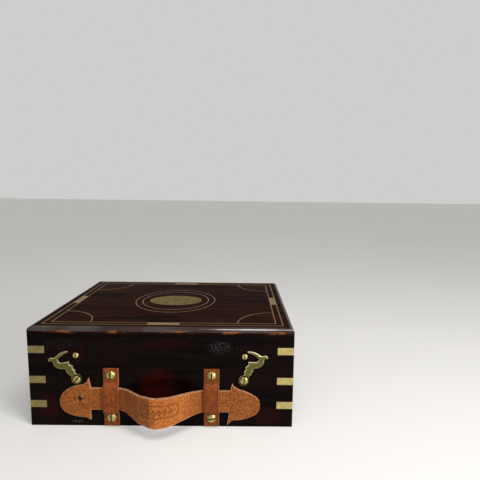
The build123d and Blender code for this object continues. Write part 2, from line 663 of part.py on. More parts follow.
rests = []
for fx, fy in FOOT_RESTS:
    post = Pos(fx, fy, floor_z + FOOT_REST_H / 2) * Cylinder(FOOT_REST_R, FOOT_REST_H)
    cup_z = floor_z + FOOT_REST_H - FOOT_CUP_DEEP / 2
    rests.append(post - Pos(fx, fy, cup_z) * Cylinder(FOOT_CUP_R, FOOT_CUP_DEEP))
nodes["foot_rests"] = rests

kx1 = INNER_X - RACK_GAP
kx0 = kx1 - RACK_W
ky1 = INNER_Y - RACK_END
ky0 = -ky1
rack_top = floor_z + RACK_H
rack = slab(kx0, kx1, ky0, ky1, floor_z, rack_top)
rack_mid = (kx0 + kx1) / 2
for sy, sr in ((-SOCKET_Y, SOCKET_R), (SOCKET_Y, SOCKET_R), (SOCKET_STEP_Y, SOCKET_STEP_R)):
    rack = rack - Pos(rack_mid, sy, rack_top - SOCKET_DEEP / 2) * Cylinder(sr, SOCKET_DEEP)
nodes["telescope_rack"] = [rack]

for tag, side in (("left", -1), ("right", 1)):
    keeper = keeper_piece(side)
    for screw in nodes["keeper_screws_" + tag]:
        keeper = keeper - screw
    nodes["keeper_" + tag] = [keeper]
    nodes["hook_" + tag] = [hook_piece(side)]
    nodes["strap_" + tag + "_end"] = [strap_end(tag)]
nodes["grip"] = [grip_piece()]

for name, pieces in nodes.items():
    solids = [solid for piece in pieces for solid in piece.solids()]
    shape = solids[0] if len(solids) == 1 else Compound(children=solids)
    export_step(shape, "parts/" + name + ".step")
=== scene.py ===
"""Looks of a fitted sextant box: polished rosewood case, brass inlay and hooks, sliding leather handle."""
import json
import math

import bmesh
import bpy
import numpy as np
from bpy.props import FloatProperty, FloatVectorProperty, IntProperty, PointerProperty
from mathutils import Matrix, Vector


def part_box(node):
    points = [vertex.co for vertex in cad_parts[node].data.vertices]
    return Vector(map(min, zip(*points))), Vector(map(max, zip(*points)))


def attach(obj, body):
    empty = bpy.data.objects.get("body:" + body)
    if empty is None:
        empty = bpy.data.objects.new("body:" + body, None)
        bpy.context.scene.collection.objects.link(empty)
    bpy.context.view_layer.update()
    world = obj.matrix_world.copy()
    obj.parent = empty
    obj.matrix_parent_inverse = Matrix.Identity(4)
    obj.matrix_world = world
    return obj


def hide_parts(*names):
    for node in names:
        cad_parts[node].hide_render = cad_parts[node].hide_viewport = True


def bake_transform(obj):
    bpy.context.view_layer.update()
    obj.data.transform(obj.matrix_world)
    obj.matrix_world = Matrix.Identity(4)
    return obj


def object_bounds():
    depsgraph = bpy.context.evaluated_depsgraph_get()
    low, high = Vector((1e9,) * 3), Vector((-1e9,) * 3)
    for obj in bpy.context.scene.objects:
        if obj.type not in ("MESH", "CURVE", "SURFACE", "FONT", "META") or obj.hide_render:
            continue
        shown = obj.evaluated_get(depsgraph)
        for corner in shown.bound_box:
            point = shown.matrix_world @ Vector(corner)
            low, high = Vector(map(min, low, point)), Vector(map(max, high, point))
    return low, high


bl_info = {
    "name": "Sextant Box",
    "version": (1, 0, 0),
    "blender": (4, 5, 0),
    "location": "View3D > Sidebar > Sextant Box",
    "description": "Builds the leather, screws, linings and finishes of a fitted sextant box",
    "category": "Add Mesh",
}

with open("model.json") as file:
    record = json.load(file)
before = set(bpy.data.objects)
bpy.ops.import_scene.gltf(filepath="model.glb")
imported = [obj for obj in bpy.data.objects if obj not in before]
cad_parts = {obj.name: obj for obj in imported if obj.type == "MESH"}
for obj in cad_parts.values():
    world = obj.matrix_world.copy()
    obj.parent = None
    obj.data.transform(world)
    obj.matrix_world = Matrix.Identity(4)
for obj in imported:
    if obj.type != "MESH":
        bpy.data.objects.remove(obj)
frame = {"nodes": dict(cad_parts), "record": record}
MM = 0.001
CASE_LOW, CASE_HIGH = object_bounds()
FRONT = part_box("base_front")[0].y / MM          # front face of the case, in mm


# --- settings ---
def srgb(code):
    """Linear colour of an sRGB hex code: the standard two-part curve, channel by channel."""
    value = np.array([int(code[i:i + 2], 16) for i in (1, 3, 5)]) / 255
    linear = np.where(value <= 0.04045, value / 12.92, ((value + 0.055) / 1.055) ** 2.4)
    return (*linear.tolist(), 1.0)


def tint(name, about, code):
    """Colour property with its default written as sRGB hex."""
    return FloatVectorProperty(name=name, description=about, subtype="COLOR", size=4, min=0, max=1,
                               default=srgb(code))


def number(name, about, default, **more):
    """Number property."""
    return FloatProperty(name=name, description=about, default=default, **more)


def size(name, about, millimetres):
    """Length property whose default is given in millimetres."""
    return number(name, about, millimetres * MM, unit="LENGTH")


class SextantBoxStrap(bpy.types.PropertyGroup):
    """Sizes of the sliding leather handle and its keepers."""
    thickness: size("Leather thickness", "Bridle leather of the sliding strap", 3.0)
    stand_off: size("Stand-off", "Air between the strap and the front board", 0.35)
    width: size("Strap width", "Width of the plain part of the strap", 25.4)
    spread: size("Grip spread", "Extra width in the middle of the grip", 8.6)
    bow: size("Bow", "How far the middle of the grip stands out", 28.6)
    softness: size("Bow softness", "Length over which the bends of the grip are rounded", 7.0)
    middle_left: size("Left height", "Middle of the strap at its left end, above the table", 34.0)
    middle_right: size("Right height", "Middle of the strap at its right end", 31.9)
    middle_grip: size("Grip height", "Middle of the grip above the table", 32.2)
    crease: size("Crease", "Place of the fold, and of the join of the two halves", -7.5)
    keeper_thickness: size("Keeper thickness", "Leather of the two keepers", 2.6)
    pitch: size("Mesh pitch", "Spacing of the mesh on the leather", 0.8)


class SextantBoxScrews(bpy.types.PropertyGroup):
    """Sizes of the brass screws."""
    slot_share: number("Slot width", "Slot width as a share of the head's radius", 0.3, min=0.05, max=0.6)
    slot_depth: number("Slot depth", "Slot depth as a share of the head's height", 0.62, min=0.05, max=0.9)
    rows: IntProperty(name="Rows", description="Mesh rows on each side of the slot", default=14,
                      min=4, max=60)


class SextantBoxFinish(bpy.types.PropertyGroup):
    """Colours of the woods, metals, leathers and cloths."""
    wood_dark: tint("Rosewood ground", "Nearly black heartwood under old polish", "#060303")
    wood_mid: tint("Rosewood figure", "Brown bands between the dark lines", "#120806")
    # Lighter colours for the lid than for the front boards: painted light, as if the lid were lit from above.
    wood_lid_painted_light: tint("Lid figure", "Lighter bands of the lid board", "#2f150d")
    wood_red: tint("Rosewood red", "Red-brown streaks", "#350a07")
    wood_worn: tint("Worn wood", "Bare wood where the polish has gone", "#7c4822")
    inlay: tint("Inlay brass", "Pale yellow brass let in flush", "#cbb97a")
    stringing: tint("Stringing", "Duller, redder brass of the thin lines in the lid", "#9c8458")
    plate: tint("Plate brass", "Darkened brass of the oval plate", "#86712f")
    cast: tint("Cast brass", "Olive tarnish on the cast hooks", "#6f6939")
    # This brass also colours the hook rims and the turn button's edges: wear with a painted highlight.
    rubbed_and_highlight: tint("Rubbed brass", "Edges kept bright by handling", "#d9d1a2")
    screw: tint("Screw brass", "Turned brass of the screw heads", "#c2b06e")
    leather: tint("Strap leather", "Tan leather, ground colour", "#a55a22")
    leather_pale: tint("Strap pale", "Paler rubbed patches of the strap", "#d08442")
    leather_dark: tint("Strap dark", "Darker mottling", "#6a3210")
    leather_edge: tint("Cut edges", "Pale flesh of the leather at its cut edges", "#bd8a68")
    keeper: tint("Keeper leather", "Redder leather of the keepers", "#7d3c15")
    keeper_dark: tint("Keeper dark", "Darkened sides and hollows of the keepers", "#4a1f0b")
    baize: tint("Baize", "Green wool lining", "#1f3d2b")
    mahogany: tint("Mahogany", "Plain oiled fittings inside", "#6b3320")
    deal: tint("Underside", "Bare underside of the case", "#7b5a3a")


class SextantBoxStage(bpy.types.PropertyGroup):
    """Floor, background and lights."""
    floor: tint("Floor", "Pale studio floor", "#cfcdc9")
    backdrop: number("Backdrop", "Brightness of the plain background", 0.62)
    lens: number("Lens", "Focal length on a 36 mm sensor", 31.17)
    floor_glow: number("Floor lift", "Keeps the floor pale where it is seen", 0.24)
    daylight: number("Room light", "Even light from all round", 0.36)
    key: number("Key light", "Power of the large soft light", 18.0, unit="POWER")
    rim: number("Strip light", "Power of the small light overhead", 2.5, unit="POWER")


# --- shader nodes ---
def steer(node, inputs):
    """Sets the inputs of a shader node: a socket is linked, and anything else is its value."""
    for key, value in inputs.items():
        if isinstance(value, bpy.types.NodeSocket):
            node.id_data.links.new(value, node.inputs[key])
        else:
            node.inputs[key].default_value = value


def add(kind, inputs, tree=None, **settings):
    """Adds a shader node, with its settings and inputs, to the tree that its linked inputs come from."""
    if tree is None:
        tree = next(value.id_data for value in inputs.values() if isinstance(value, bpy.types.NodeSocket))
    made = tree.nodes.new(kind)
    for key, value in settings.items():
        setattr(made, key, value)
    steer(made, inputs)
    return made


def calc(operation, *values):
    """One step of arithmetic on numbers."""
    return add("ShaderNodeMath", dict(enumerate(values)), operation=operation).outputs[0]


def times(first, *others):
    """Product of numbers."""
    for other in others:
        first = calc("MULTIPLY", first, other)
    return first


def vector(operation, *values):
    """One step of arithmetic on vectors: output 0 is a vector and output Value a length."""
    return add("ShaderNodeVectorMath", dict(enumerate(values)), operation=operation).outputs


def axes(place):
    """X, Y and Z of a place, by name."""
    return add("ShaderNodeSeparateXYZ", {"Vector": place}).outputs


def noise(place, scale, **more):
    """Noise whose cells are about 1 / scale metres wide; three scales stretch them along the axes."""
    if isinstance(scale, tuple):
        place = add("ShaderNodeMapping", {"Vector": place, "Scale": scale}).outputs[0]
        scale = 1.0
    inputs = {key.capitalize(): value for key, value in more.items()}
    return add("ShaderNodeTexNoise", {"Vector": place, "Scale": scale, **inputs}).outputs[0]


def mark(place, name):
    """Point attribute of the mesh, as a number."""
    return add("ShaderNodeAttribute", {}, place.id_data, attribute_name=name).outputs["Fac"]


def ramp(factor, *stops):
    """Colour ramp over a factor, with its stops as (place, linear colour)."""
    made = add("ShaderNodeValToRGB", {"Fac": factor})
    elements = made.color_ramp.elements
    while len(elements) < len(stops):
        elements.new(0.5)
    for element, (place, colour) in zip(elements, stops):
        element.position = place
        element.color = tuple(colour)
    return made.outputs["Color"]


def band(value, low, high):
    """Smooth step of a number from 0 at low to 1 at high, whichever of them is greater."""
    return add("ShaderNodeMapRange", {"Value": value, "From Min": low, "From Max": high},
               interpolation_type="SMOOTHSTEP").outputs["Result"]


def blend_colour(factor, under, over, kind="MIX"):
    """Colour over another by a factor."""
    return add("ShaderNodeMix", {"Factor": factor, "A": under, "B": over},
               data_type="RGBA", blend_type=kind).outputs["Result"]


def bump(height, strength, distance):
    """Normal of a fine relief whose depth is distance, in metres."""
    return add("ShaderNodeBump", {"Height": height, "Strength": strength, "Distance": distance}).outputs[0]


def grey(level):
    """Grey of a level, for colours and for ramps that steer a number."""
    return (level, level, level, 1.0)


def shaded(colour, share):
    """Darker colour: a share of each channel."""
    return tuple(c * share for c in colour[:3]) + (1.0,)


def blank(name):
    """Empty material: itself, its shader and the object coordinates."""
    material = bpy.data.materials.new(name)
    material.use_nodes = True
    tree = material.node_tree
    place = add("ShaderNodeTexCoord", {}, tree).outputs["Object"]
    return material, tree.nodes["Principled BSDF"], place


# --- meshes ---
def write_mark(mesh, name, values):
    """Writes one number for each point of a mesh."""
    mesh.attributes.new(name, "FLOAT", "POINT").data.foreach_set("value", np.float32(values).reshape(-1))


def object_from(name, points, faces, finish, weld=0.0, **attributes):
    """Smooth object at the origin from arrays of points in mm and of faces, with its finish and attributes.

    Points nearer to each other than weld, in mm, are merged, which closes seams and poles."""
    mesh = bpy.data.meshes.new(name)
    mesh.from_pydata((np.asarray(points) * MM).reshape(-1, 3).tolist(), [], np.asarray(faces).tolist())
    mesh.materials.append(finish)
    for key, value in attributes.items():
        write_mark(mesh, key, value)
    if weld:
        shape = bmesh.new()
        shape.from_mesh(mesh)
        bmesh.ops.remove_doubles(shape, verts=shape.verts, dist=weld * MM)
        shape.to_mesh(mesh)
        shape.free()
    mesh.update()
    mesh.polygons.foreach_set("use_smooth", [True] * len(mesh.polygons))
    return linked(name, mesh)


def linked(name, data):
    """Object of some mesh, light or camera, put into the scene."""
    made = bpy.data.objects.new(name, data)
    bpy.context.scene.collection.objects.link(made)
    return made


def grid_faces(rows, columns, start=0, wrap=False):
    """Quads of a grid whose points run row by row: corners i, i+1, and the same in the next row."""
    index = np.arange(rows * columns).reshape(rows, columns) + start
    if wrap:
        index = np.concatenate([index, index[:, :1]], axis=1)
    quads = np.stack([index[:-1, :-1], index[:-1, 1:], index[1:, 1:], index[1:, :-1]], axis=-1)
    return quads.reshape(-1, 4)


def end_to_end(grids):
    """Values of several grids in one row."""
    return np.concatenate([grid.reshape(-1) for grid in grids])


def modify(obj, kind, name, **settings):
    """Adds a modifier with its settings."""
    modifier = obj.modifiers.new(name, kind)
    for key, value in settings.items():
        setattr(modifier, key, value)


def bevel(obj, name, width, segments, degrees, **settings):
    """Rounds the edges sharper than an angle; the width is in mm."""
    modify(obj, "BEVEL", name, width=width * MM, segments=segments, limit_method="ANGLE",
           angle_limit=math.radians(degrees), **settings)


def settle(obj):
    """Applies the modifiers, so that the mesh is final."""
    graph = bpy.context.evaluated_depsgraph_get()
    final = bpy.data.meshes.new_from_object(obj.evaluated_get(graph))
    obj.modifiers.clear()
    obj.data = final


# --- finishes ---
# Ovals on the front face: x, z, half width and half height in mm, and strength. The red ones are painted
# reflections of the leather in the polish; the faint last scuff is a painted sheen.
PAINTED_RED_REFLECTIONS = ((-3, 49, 23, 20, 0.8), (-129, 24, 15, 14, 0.4), (122, 14, 20, 12, 0.28), (4, 98, 30, 8, 0.22))
SCUFFS_AND_SHEEN = ((-97, 5, 7, 1.6, 0.42), (66, 95, 14, 8, 0.16), (-112, 98, 22, 7, 0.04))
# Pairs of a place in m where something starts to show and where it shows in full.
FRONT_SKIN = (-0.112, -0.118)       # y of the front face
CHIPS_BELOW = (0.1096, 0.1118)      # height of the chips at the rounded edge, from below
CHIPS_ABOVE = (0.1145, 0.1130)      # and from above
ROUND_UP = (0.1118, 0.1130)         # height of the rounded edge
ROUND_IN = (0.0050, 0.0038)         # distance of the rounded edge from the side of the case
PAINTED_SHADE_SIDE = (0.09, -0.09)           # x where the painted shade on the left of the brass starts and is full
PIVOT_GRIME_AND_SHADE = (0.0061, 0.0055)      # distance of the black ring (dirt with painted shade) from the middle of a pivot
PIVOT_AT = (0.0944, 0.0, 0.057)     # middle of either pivot in m, with x unsigned
WAVE_APART, WAVE_LENGTH = 0.003, 0.009      # engraved lines of the plate, m


def rosewood(name, along, dark, mid, shine):
    """Polished Indian rosewood: old shellac over nearly black heartwood, red-brown in places.

    Figure bands are 12 to 20 mm across and some 150 mm long, with 1.5 mm growth lines over them. Boards along
    X have chips at the rounded edge, where the polish is bright."""
    colours = bpy.context.scene.sextant_finish
    material, shader, place = blank(name)
    bands, lines = {"X": ((6, 60, 52), (16, 640, 640)), "Y": ((60, 6, 52), (640, 16, 640))}[along]
    figure = noise(place, bands, detail=8.0, roughness=0.58, distortion=0.9)
    growth = noise(place, lines, detail=3.0)
    cloud = noise(place, 16.0, detail=2.5)
    ground = ramp(figure, (0.36, dark), (0.56, mid), (0.66, dark))
    red = times(band(figure, 0.47, 0.62), band(cloud, 0.66, 0.82))
    # On the front boards: painted red reflections of the leather in the polish, laid over the figure.
    if along == "X":
        red = calc("MAXIMUM", red, times(ovals(place, PAINTED_RED_REFLECTIONS), band(figure, 0.25, 0.55)))
    toned = blend_colour(red, ground, colours.wood_red)
    shade = ramp(growth, (0.36, grey(0.5)), (0.58, grey(1)))
    final = blend_colour(0.6, toned, shade, "MULTIPLY")
    if along == "X":
        final = blend_colour(bare_edge(place), final, colours.wood_worn)
    final = blend_colour(scuffs_and_sheen(place), final, grey(0.28))
    kept = calc("MAXIMUM", band(cloud, 0.36, 0.62), 0.5)
    steer(shader, {
        "Base Color": final,
        "Roughness": ramp(cloud, (0.35, grey(0.22)), (0.70, grey(0.36))),
        "Normal": bump(growth, 0.08, 0.0002),
        "Specular IOR Level": shine,
        "Coat Weight": times(rounded_edge(place), kept, 0.9),
        "Coat Roughness": 0.14,
        "Coat IOR": 1.9})
    return material


def ovals(place, spots):
    """Soft ovals on the front face: the strength inside, fading between 0.5 and 1.2 of the size."""
    strongest = None
    for x, z, wide, high, strength in spots:
        near = vector("ADD", place, (-x * MM, 0.0, -z * MM))[0]
        scaled = vector("MULTIPLY", near, (1 / (wide * MM), 0.0, 1 / (high * MM)))[0]
        spot = times(band(vector("LENGTH", scaled)["Value"], 1.2, 0.5), strength)
        strongest = spot if strongest is None else calc("MAXIMUM", strongest, spot)
    return times(strongest, band(axes(place)["Y"], *FRONT_SKIN))


def scuffs_and_sheen(place):
    """Fine pale marks 0.6 mm across where the polish is worn, a very few elsewhere, and a painted sheen."""
    marks = noise(place, 800.0, detail=1.0)
    places = noise(place, 31.0, detail=1.0)
    stray = times(band(marks, 0.68, 0.76), band(places, 0.56, 0.72), 0.16)
    heavy = times(band(marks, 0.54, 0.64), ovals(place, SCUFFS_AND_SHEEN))
    return calc("MAXIMUM", stray, heavy)


def bare_edge(place):
    """Chips 5 to 20 mm long at the foot of the rounded edge, where the polish is worn off."""
    height = axes(place)["Z"]
    chips = noise(place, (70, 70, 330), detail=5.0)
    where = noise(place, 24.0)
    return times(band(height, *CHIPS_BELOW), band(height, *CHIPS_ABOVE),
                 band(chips, 0.46, 0.56), band(where, 0.46, 0.56), 0.8)


def rounded_edge(place):
    """1 on the rounded edge round the lid and 0 elsewhere."""
    along = axes(place)
    reach = []
    for axis, half in (("X", CASE_HIGH.x), ("Y", CASE_HIGH.y)):
        far = calc("ABSOLUTE", along[axis])
        reach.append(band(far, half - ROUND_IN[0], half - ROUND_IN[1]))
    return times(calc("MAXIMUM", *reach), band(along["Z"], *ROUND_UP))


def plain_wood(name, colour, along_scale, roughness):
    """Plain straight-grained wood, oiled or bare: fibre lines 2 mm apart along X."""
    material, shader, place = blank(name)
    grain = noise(place, (along_scale, 420, 420), detail=6.0)
    steer(shader, {
        "Base Color": ramp(grain, (0.34, shaded(colour, 0.5)), (0.62, colour)),
        "Normal": bump(grain, 0.2, 0.0002),
        "Roughness": roughness})
    return material


def brass(name, colour, tarnish, roughness, cloud, engraved=False, painted_shade_left=1.0, rubbed_and_highlight=None):
    """Old brass: metal clouded by thin tarnish, patches 1 / cloud metres wide, fine handling marks.

    It is black in slots, where its dark mark is 1: old polish with painted shade. A cast part is bright where
    its rim mark is 1, on its edges: wear with a painted highlight. It is black within 5.8 mm of its pivot:
    dirt with painted shade. An engraved sheet has wavy lines cut 3 mm apart, which swing by 0.8 mm every 9 mm
    and hold dark wax. The left side is darkened by the share given: painted shade."""
    material, shader, place = blank(name)
    film = noise(place, cloud, detail=6.0, roughness=0.65)
    shade = ramp(film, (0.36, shaded(colour, tarnish)), (0.60, colour))
    along = axes(place)
    # Painted shade: the brass is darker towards the left, as if lit from the right.
    if painted_shade_left < 1:
        dull = blend_colour(1.0, shade, grey(painted_shade_left), "MULTIPLY")
        shade = blend_colour(band(along["X"], *PAINTED_SHADE_SIDE), shade, dull)
    grime = mark(place, "grime")
    relief, strength, deep = noise(place, 1500.0, detail=3.0), 0.12, 0.0001
    if rubbed_and_highlight:
        patchy = calc("MAXIMUM", band(film, 0.36, 0.52), 0.45)
        shade = blend_colour(times(mark(place, "rubbed_and_highlight"), patchy), shade, rubbed_and_highlight)
        # Black ring round the pivot: dirt with painted shade.
        near = add("ShaderNodeCombineXYZ", {"X": calc("ABSOLUTE", along["X"]), "Z": along["Z"]}).outputs[0]
        reach = vector("DISTANCE", near, PIVOT_AT)["Value"]
        grime = times(band(reach, *PIVOT_GRIME_AND_SHADE), 0.85)
    if engraved:
        swing = calc("SINE", times(along["X"], 2 * math.pi / WAVE_LENGTH))
        phase = calc("ADD", times(along["Y"], 2 * math.pi / WAVE_APART), times(swing, 1.6))
        cut = band(calc("SINE", phase), 0.2, 0.7)
        broken = calc("MAXIMUM", band(film, 0.60, 0.42), 0.35)
        grime = times(cut, broken, 0.95)
        relief, strength, deep = times(cut, -1.0), 0.5, 0.0004
    steer(shader, {
        "Base Color": blend_colour(grime, shade, shaded(colour, 0.05)),
        "Roughness": ramp(film, (0.30, grey(min(1.0, roughness + 0.16))), (0.66, grey(roughness))),
        "Normal": bump(relief, strength, deep),
        "Metallic": 1.0})
    return material


def leather(name, colour, pale, dark, cloud):
    """Vegetable-tanned leather gone dry: dye mottled in patches 1 / cloud metres wide, 1.1 mm grain cells.

    It is paler where edge is 1, nearly black where stamp is 1, and darker by painted shade where its shade
    mark is 1."""
    material, shader, place = blank(name)
    dye = noise(place, cloud, detail=8.0, roughness=0.72)
    fleck = noise(place, 640.0, detail=4.0, roughness=0.75)
    cells = add("ShaderNodeTexVoronoi", {"Vector": place, "Scale": 900.0}).outputs["Distance"]
    mottled = ramp(dye, (0.30, dark), (0.52, colour), (0.78, pale))
    speckled = ramp(fleck, (0.38, dark), (0.50, colour), (0.60, pale))
    toned = blend_colour(0.68, mottled, speckled)
    # Painted shade: the leather is darkened where the mesh is marked for it.
    darker = blend_colour(1.0, toned, grey(0.66), "MULTIPLY")
    toned = blend_colour(mark(place, "sheltered"), toned, darker)
    flesh = bpy.context.scene.sextant_finish.leather_edge
    bared = blend_colour(times(mark(place, "edge"), 0.7), toned, flesh)
    steer(shader, {
        "Base Color": blend_colour(mark(place, "stamp"), bared, shaded(dark, 0.12)),
        "Normal": bump(calc("ADD", cells, fleck), 0.4, 0.0002),
        "Roughness": 0.55,
        "Specular IOR Level": 0.15})
    return material


def wool_baize(name, colour):
    """Felted wool baize: short fibres drawn 0.8 mm apart, coarser than real so that they show."""
    material, shader, place = blank(name)
    nap = noise(place, 1300.0, detail=4.0)
    worn = noise(place, 24.0, detail=3.0)
    fibre = ramp(nap, (0.35, shaded(colour, 0.55)), (0.65, colour))
    faded = ramp(worn, (0.35, grey(0.8)), (0.65, grey(1)))
    steer(shader, {
        "Base Color": blend_colour(1.0, fibre, faded, "MULTIPLY"),
        "Normal": bump(nap, 0.5, 0.0004),
        "Roughness": 0.95,
        "Sheen Weight": 0.25})
    return material


def dress(name, *materials):
    """Gives a CAD node its materials: the first on its faces, the rest for what modifiers add."""
    node = frame["nodes"][name]
    node.data.materials.clear()
    for material in materials:
        node.data.materials.append(material)
    return node


def soften(node, width, segments=2, edge_material=-1):
    """Small worn arris: joins the loose triangles, clears flat ones, then rounds edges over 40 degrees."""
    modify(node, "WELD", "join", merge_threshold=0.01 * MM)
    modify(node, "DECIMATE", "flatten", decimate_type="DISSOLVE", angle_limit=math.radians(1.0))
    bevel(node, "arris", width, segments, 40, material=edge_material, harden_normals=False)


# --- leather handle ---
# Outline of each arrow end from its lower to its upper barb, x and z in mm: a chain of arcs, in which every
# second point is the middle of one.
NOSES = (((-80.5, 9.2), (-82.9, 10.4), (-86.0, 12.2), (-97.0, 13.3), (-107.6, 17.0), (-114.8, 29.2),
          (-108.8, 43.2), (-101.6, 47.6), (-93.0, 50.0), (-85.0, 53.4), (-82.2, 58.4)),
         ((74.9, 3.4), (77.5, 6.6), (81.0, 9.6), (95.4, 11.3), (107.2, 16.5), (112.2, 28.8),
          (105.6, 38.2), (99.0, 42.0), (91.0, 45.0), (84.4, 48.0), (80.2, 52.8)))
NECKS = ((-80.8, -79.9), (77.2, 78.4))      # x where the strip meets each end, low and high, mm
BOW = ((-47.0, 0.0), (-38.0, 0.15), (-20.0, 0.77), (-9.0, 0.94), (-2.0, 1.02), (6.0, 0.97), (13.0, 0.86),
       (38.0, 0.15), (46.0, 0.0))           # x in mm, and share of the full stand-out there
GRIP_REACH = 49.5                           # half the length over which the grip widens, mm
FOLD_HEIGHT, FOLD_LENGTH = 1.2, 4.0         # crease of the grip, mm
STAMP_AT, STAMP_DEPTH = (2.5, 1.6), 0.22    # middle of the cartouche, as x and above the grip's middle, mm
NICK = (-92.0, 35.0)                        # small torn nick in the left end, x and z in mm
NICK_DEPTH, FLAP_LIFT = 1.2, 0.9            # how deep it is, and how far its flap stands up, mm
NOSE_ROWS, BARB_COLUMNS, ARC_POINTS = 72, 18, 60


def arc(points, count):
    """Points on the circle through three points: its centre is where their bisectors meet."""
    a, b, c = (complex(*p) for p in points)
    turn = (c - a) / (b - a)
    centre = (b - a) * (turn - abs(turn) ** 2) / (2j * turn.imag) + a
    sweep = np.unwrap(np.angle([a - centre, b - centre, c - centre]))
    angles = np.interp(np.linspace(0, 1, count), (0, 0.5, 1), sweep)
    on = centre + abs(a - centre) * np.exp(1j * angles)
    return np.stack([on.real, on.imag], axis=-1)


def strap_middle(strap):
    """Place along y of the strap's middle layer where it lies flat, in mm."""
    return FRONT - strap.stand_off / MM - strap.thickness / MM / 2


def bow_line(strap, pitch):
    """Plan line of the strap's middle layer between its ends, evenly stepped.

    It stands out by straight runs between the places in BOW, averaged over the softness of the bends."""
    fine, first, last = 0.25, NECKS[0][0], NECKS[1][1]
    x = np.arange(first, last, fine)
    x[-1] = last
    places, shares = np.array(BOW).T
    out = np.interp(x, places, shares * strap.bow / MM)
    window = np.hanning(int(strap.softness / MM / fine) | 1)
    out = np.convolve(np.pad(out, len(window) // 2, mode="edge"), window / window.sum(), "valid")
    line = np.stack([x, strap_middle(strap) - out], -1)
    along = np.concatenate([[0], np.cumsum(np.hypot(*np.diff(line, axis=0).T))])
    steps = np.linspace(0, along[-1], int(along[-1] / pitch) + 1)
    return np.stack([np.interp(steps, along, line[:, i]) for i in (0, 1)], -1)


def nose_grid(points, neck, middle, half, core, back):
    """Arrow end as a grid: rows from the tip to the barbs and columns from the lower to the upper outline.

    Heights are a share of the way between the two outlines. The strip lies between two such shares."""
    low, high = points[0][1], points[-1][1]
    shares = (middle - half - low) / (high - low), (middle + half - low) / (high - low)
    columns = np.concatenate([np.linspace(0, shares[0], BARB_COLUMNS + 1)[:-1], np.linspace(*shares, core),
                              np.linspace(shares[1], 1, BARB_COLUMNS + 1)[1:]])
    outline = np.concatenate([arc(points[i:i + 3], ARC_POINTS) for i in range(0, len(points) - 2, 2)])
    tip = np.argmax(np.abs(outline[:, 0]))
    ends = np.interp(columns, (0, *shares, 1), (outline[0, 0], *neck, outline[-1, 0]))
    run = 1 - np.cos(np.linspace(0, 1, NOSE_ROWS) * np.pi / 2)
    x = outline[tip, 0] + np.outer(run, ends - outline[tip, 0])
    heights = []
    for part, column in ((outline[:tip + 1], 0), (outline[tip:], -1)):
        order = np.argsort(part[:, 0])
        heights.append(np.interp(x[:, column], part[order, 0], part[order, 1])[:, None])
    z = heights[0] + (heights[1] - heights[0]) * columns
    return np.stack([x, np.full_like(x, back), z], -1)


def ornament(u, v):
    """Stamped cartouche: a long rounded frame and a row of lozenges, as lines of depth 1 fading over 0.75 mm.

    The frame is the distance to a box with round corners, and a lozenge is |u|/a + |v|/b = 1."""
    half_long, half_high, corner = 22.0, 7.0, 6.0
    apart, row_half, row_drop = 5.8, 14.4, 0.8
    qx = np.abs(u) - (half_long - corner)
    qy = np.abs(v) - (half_high - corner)
    outline = np.hypot(np.maximum(qx, 0), np.maximum(qy, 0)) + np.minimum(np.maximum(qx, qy), 0) - corner
    place = (u + apart / 2) % apart - apart / 2
    lozenge = (np.abs(place) / 2.0 + np.abs(v + row_drop) / 3.0 - 1) * 1.6
    row = (np.abs(u) < row_half) * np.exp(-(lozenge / 0.6) ** 2)
    return np.maximum(np.exp(-(outline / 0.75) ** 2), row)


def torn_nick(grid):
    """Torn nick in an arrow end, as shares from 0 to 1: its hollow, and the flap that stands up in it.

    The hollow is a leaning lozenge, |x|/3.9 + |z|/6.2 < 1.25, and the flap a bell of 1.0 by 1.9 mm."""
    dx, dz = grid[..., 0] - NICK[0], grid[..., 2] - NICK[1]
    spread = np.abs(dx - 0.3 * dz) / 3.9 + np.abs(dz + 0.2 * dx) / 6.2
    flap = np.exp(-((dx - 1.9) / 1.0) ** 2 - ((dz - 2.3) / 1.9) ** 2)
    return np.clip((1.25 - spread) / 0.35, 0, 1), flap


def strap_strip(strap, half, middles, core, pitch):
    """Middle layer of the strip between the arrow ends, bowed out and creased.

    It widens by (1 - (x / reach)^2)^2, and its last 6 mm lean to meet the slanted necks of the ends."""
    line = bow_line(strap, pitch)
    ease = np.clip(1 - (line[:, 0] / GRIP_REACH) ** 2, 0, None) ** 2
    heights = (middles[0], strap.middle_grip / MM, middles[1])
    middle = np.interp(line[:, 0], (-GRIP_REACH, 0, GRIP_REACH), heights)
    wide = half + ease * strap.spread / MM / 2
    strip = np.stack([np.repeat(line[:, :1], core, 1), np.repeat(line[:, 1:], core, 1),
                      middle[:, None] + wide[:, None] * np.linspace(-1, 1, core)], -1)
    for neck, end in zip(NECKS, (0, -1)):
        skew = np.linspace(*neck, core) - neck[end]
        fade = np.clip(1 - np.abs(line[:, 0] - line[end, 0]) / 6, 0, 1)[:, None]
        strip[..., 0] += fade * skew
    strip[..., 1] -= FOLD_HEIGHT * np.exp(-np.abs(strip[..., 0] - strap.crease / MM) / FOLD_LENGTH)
    return strip


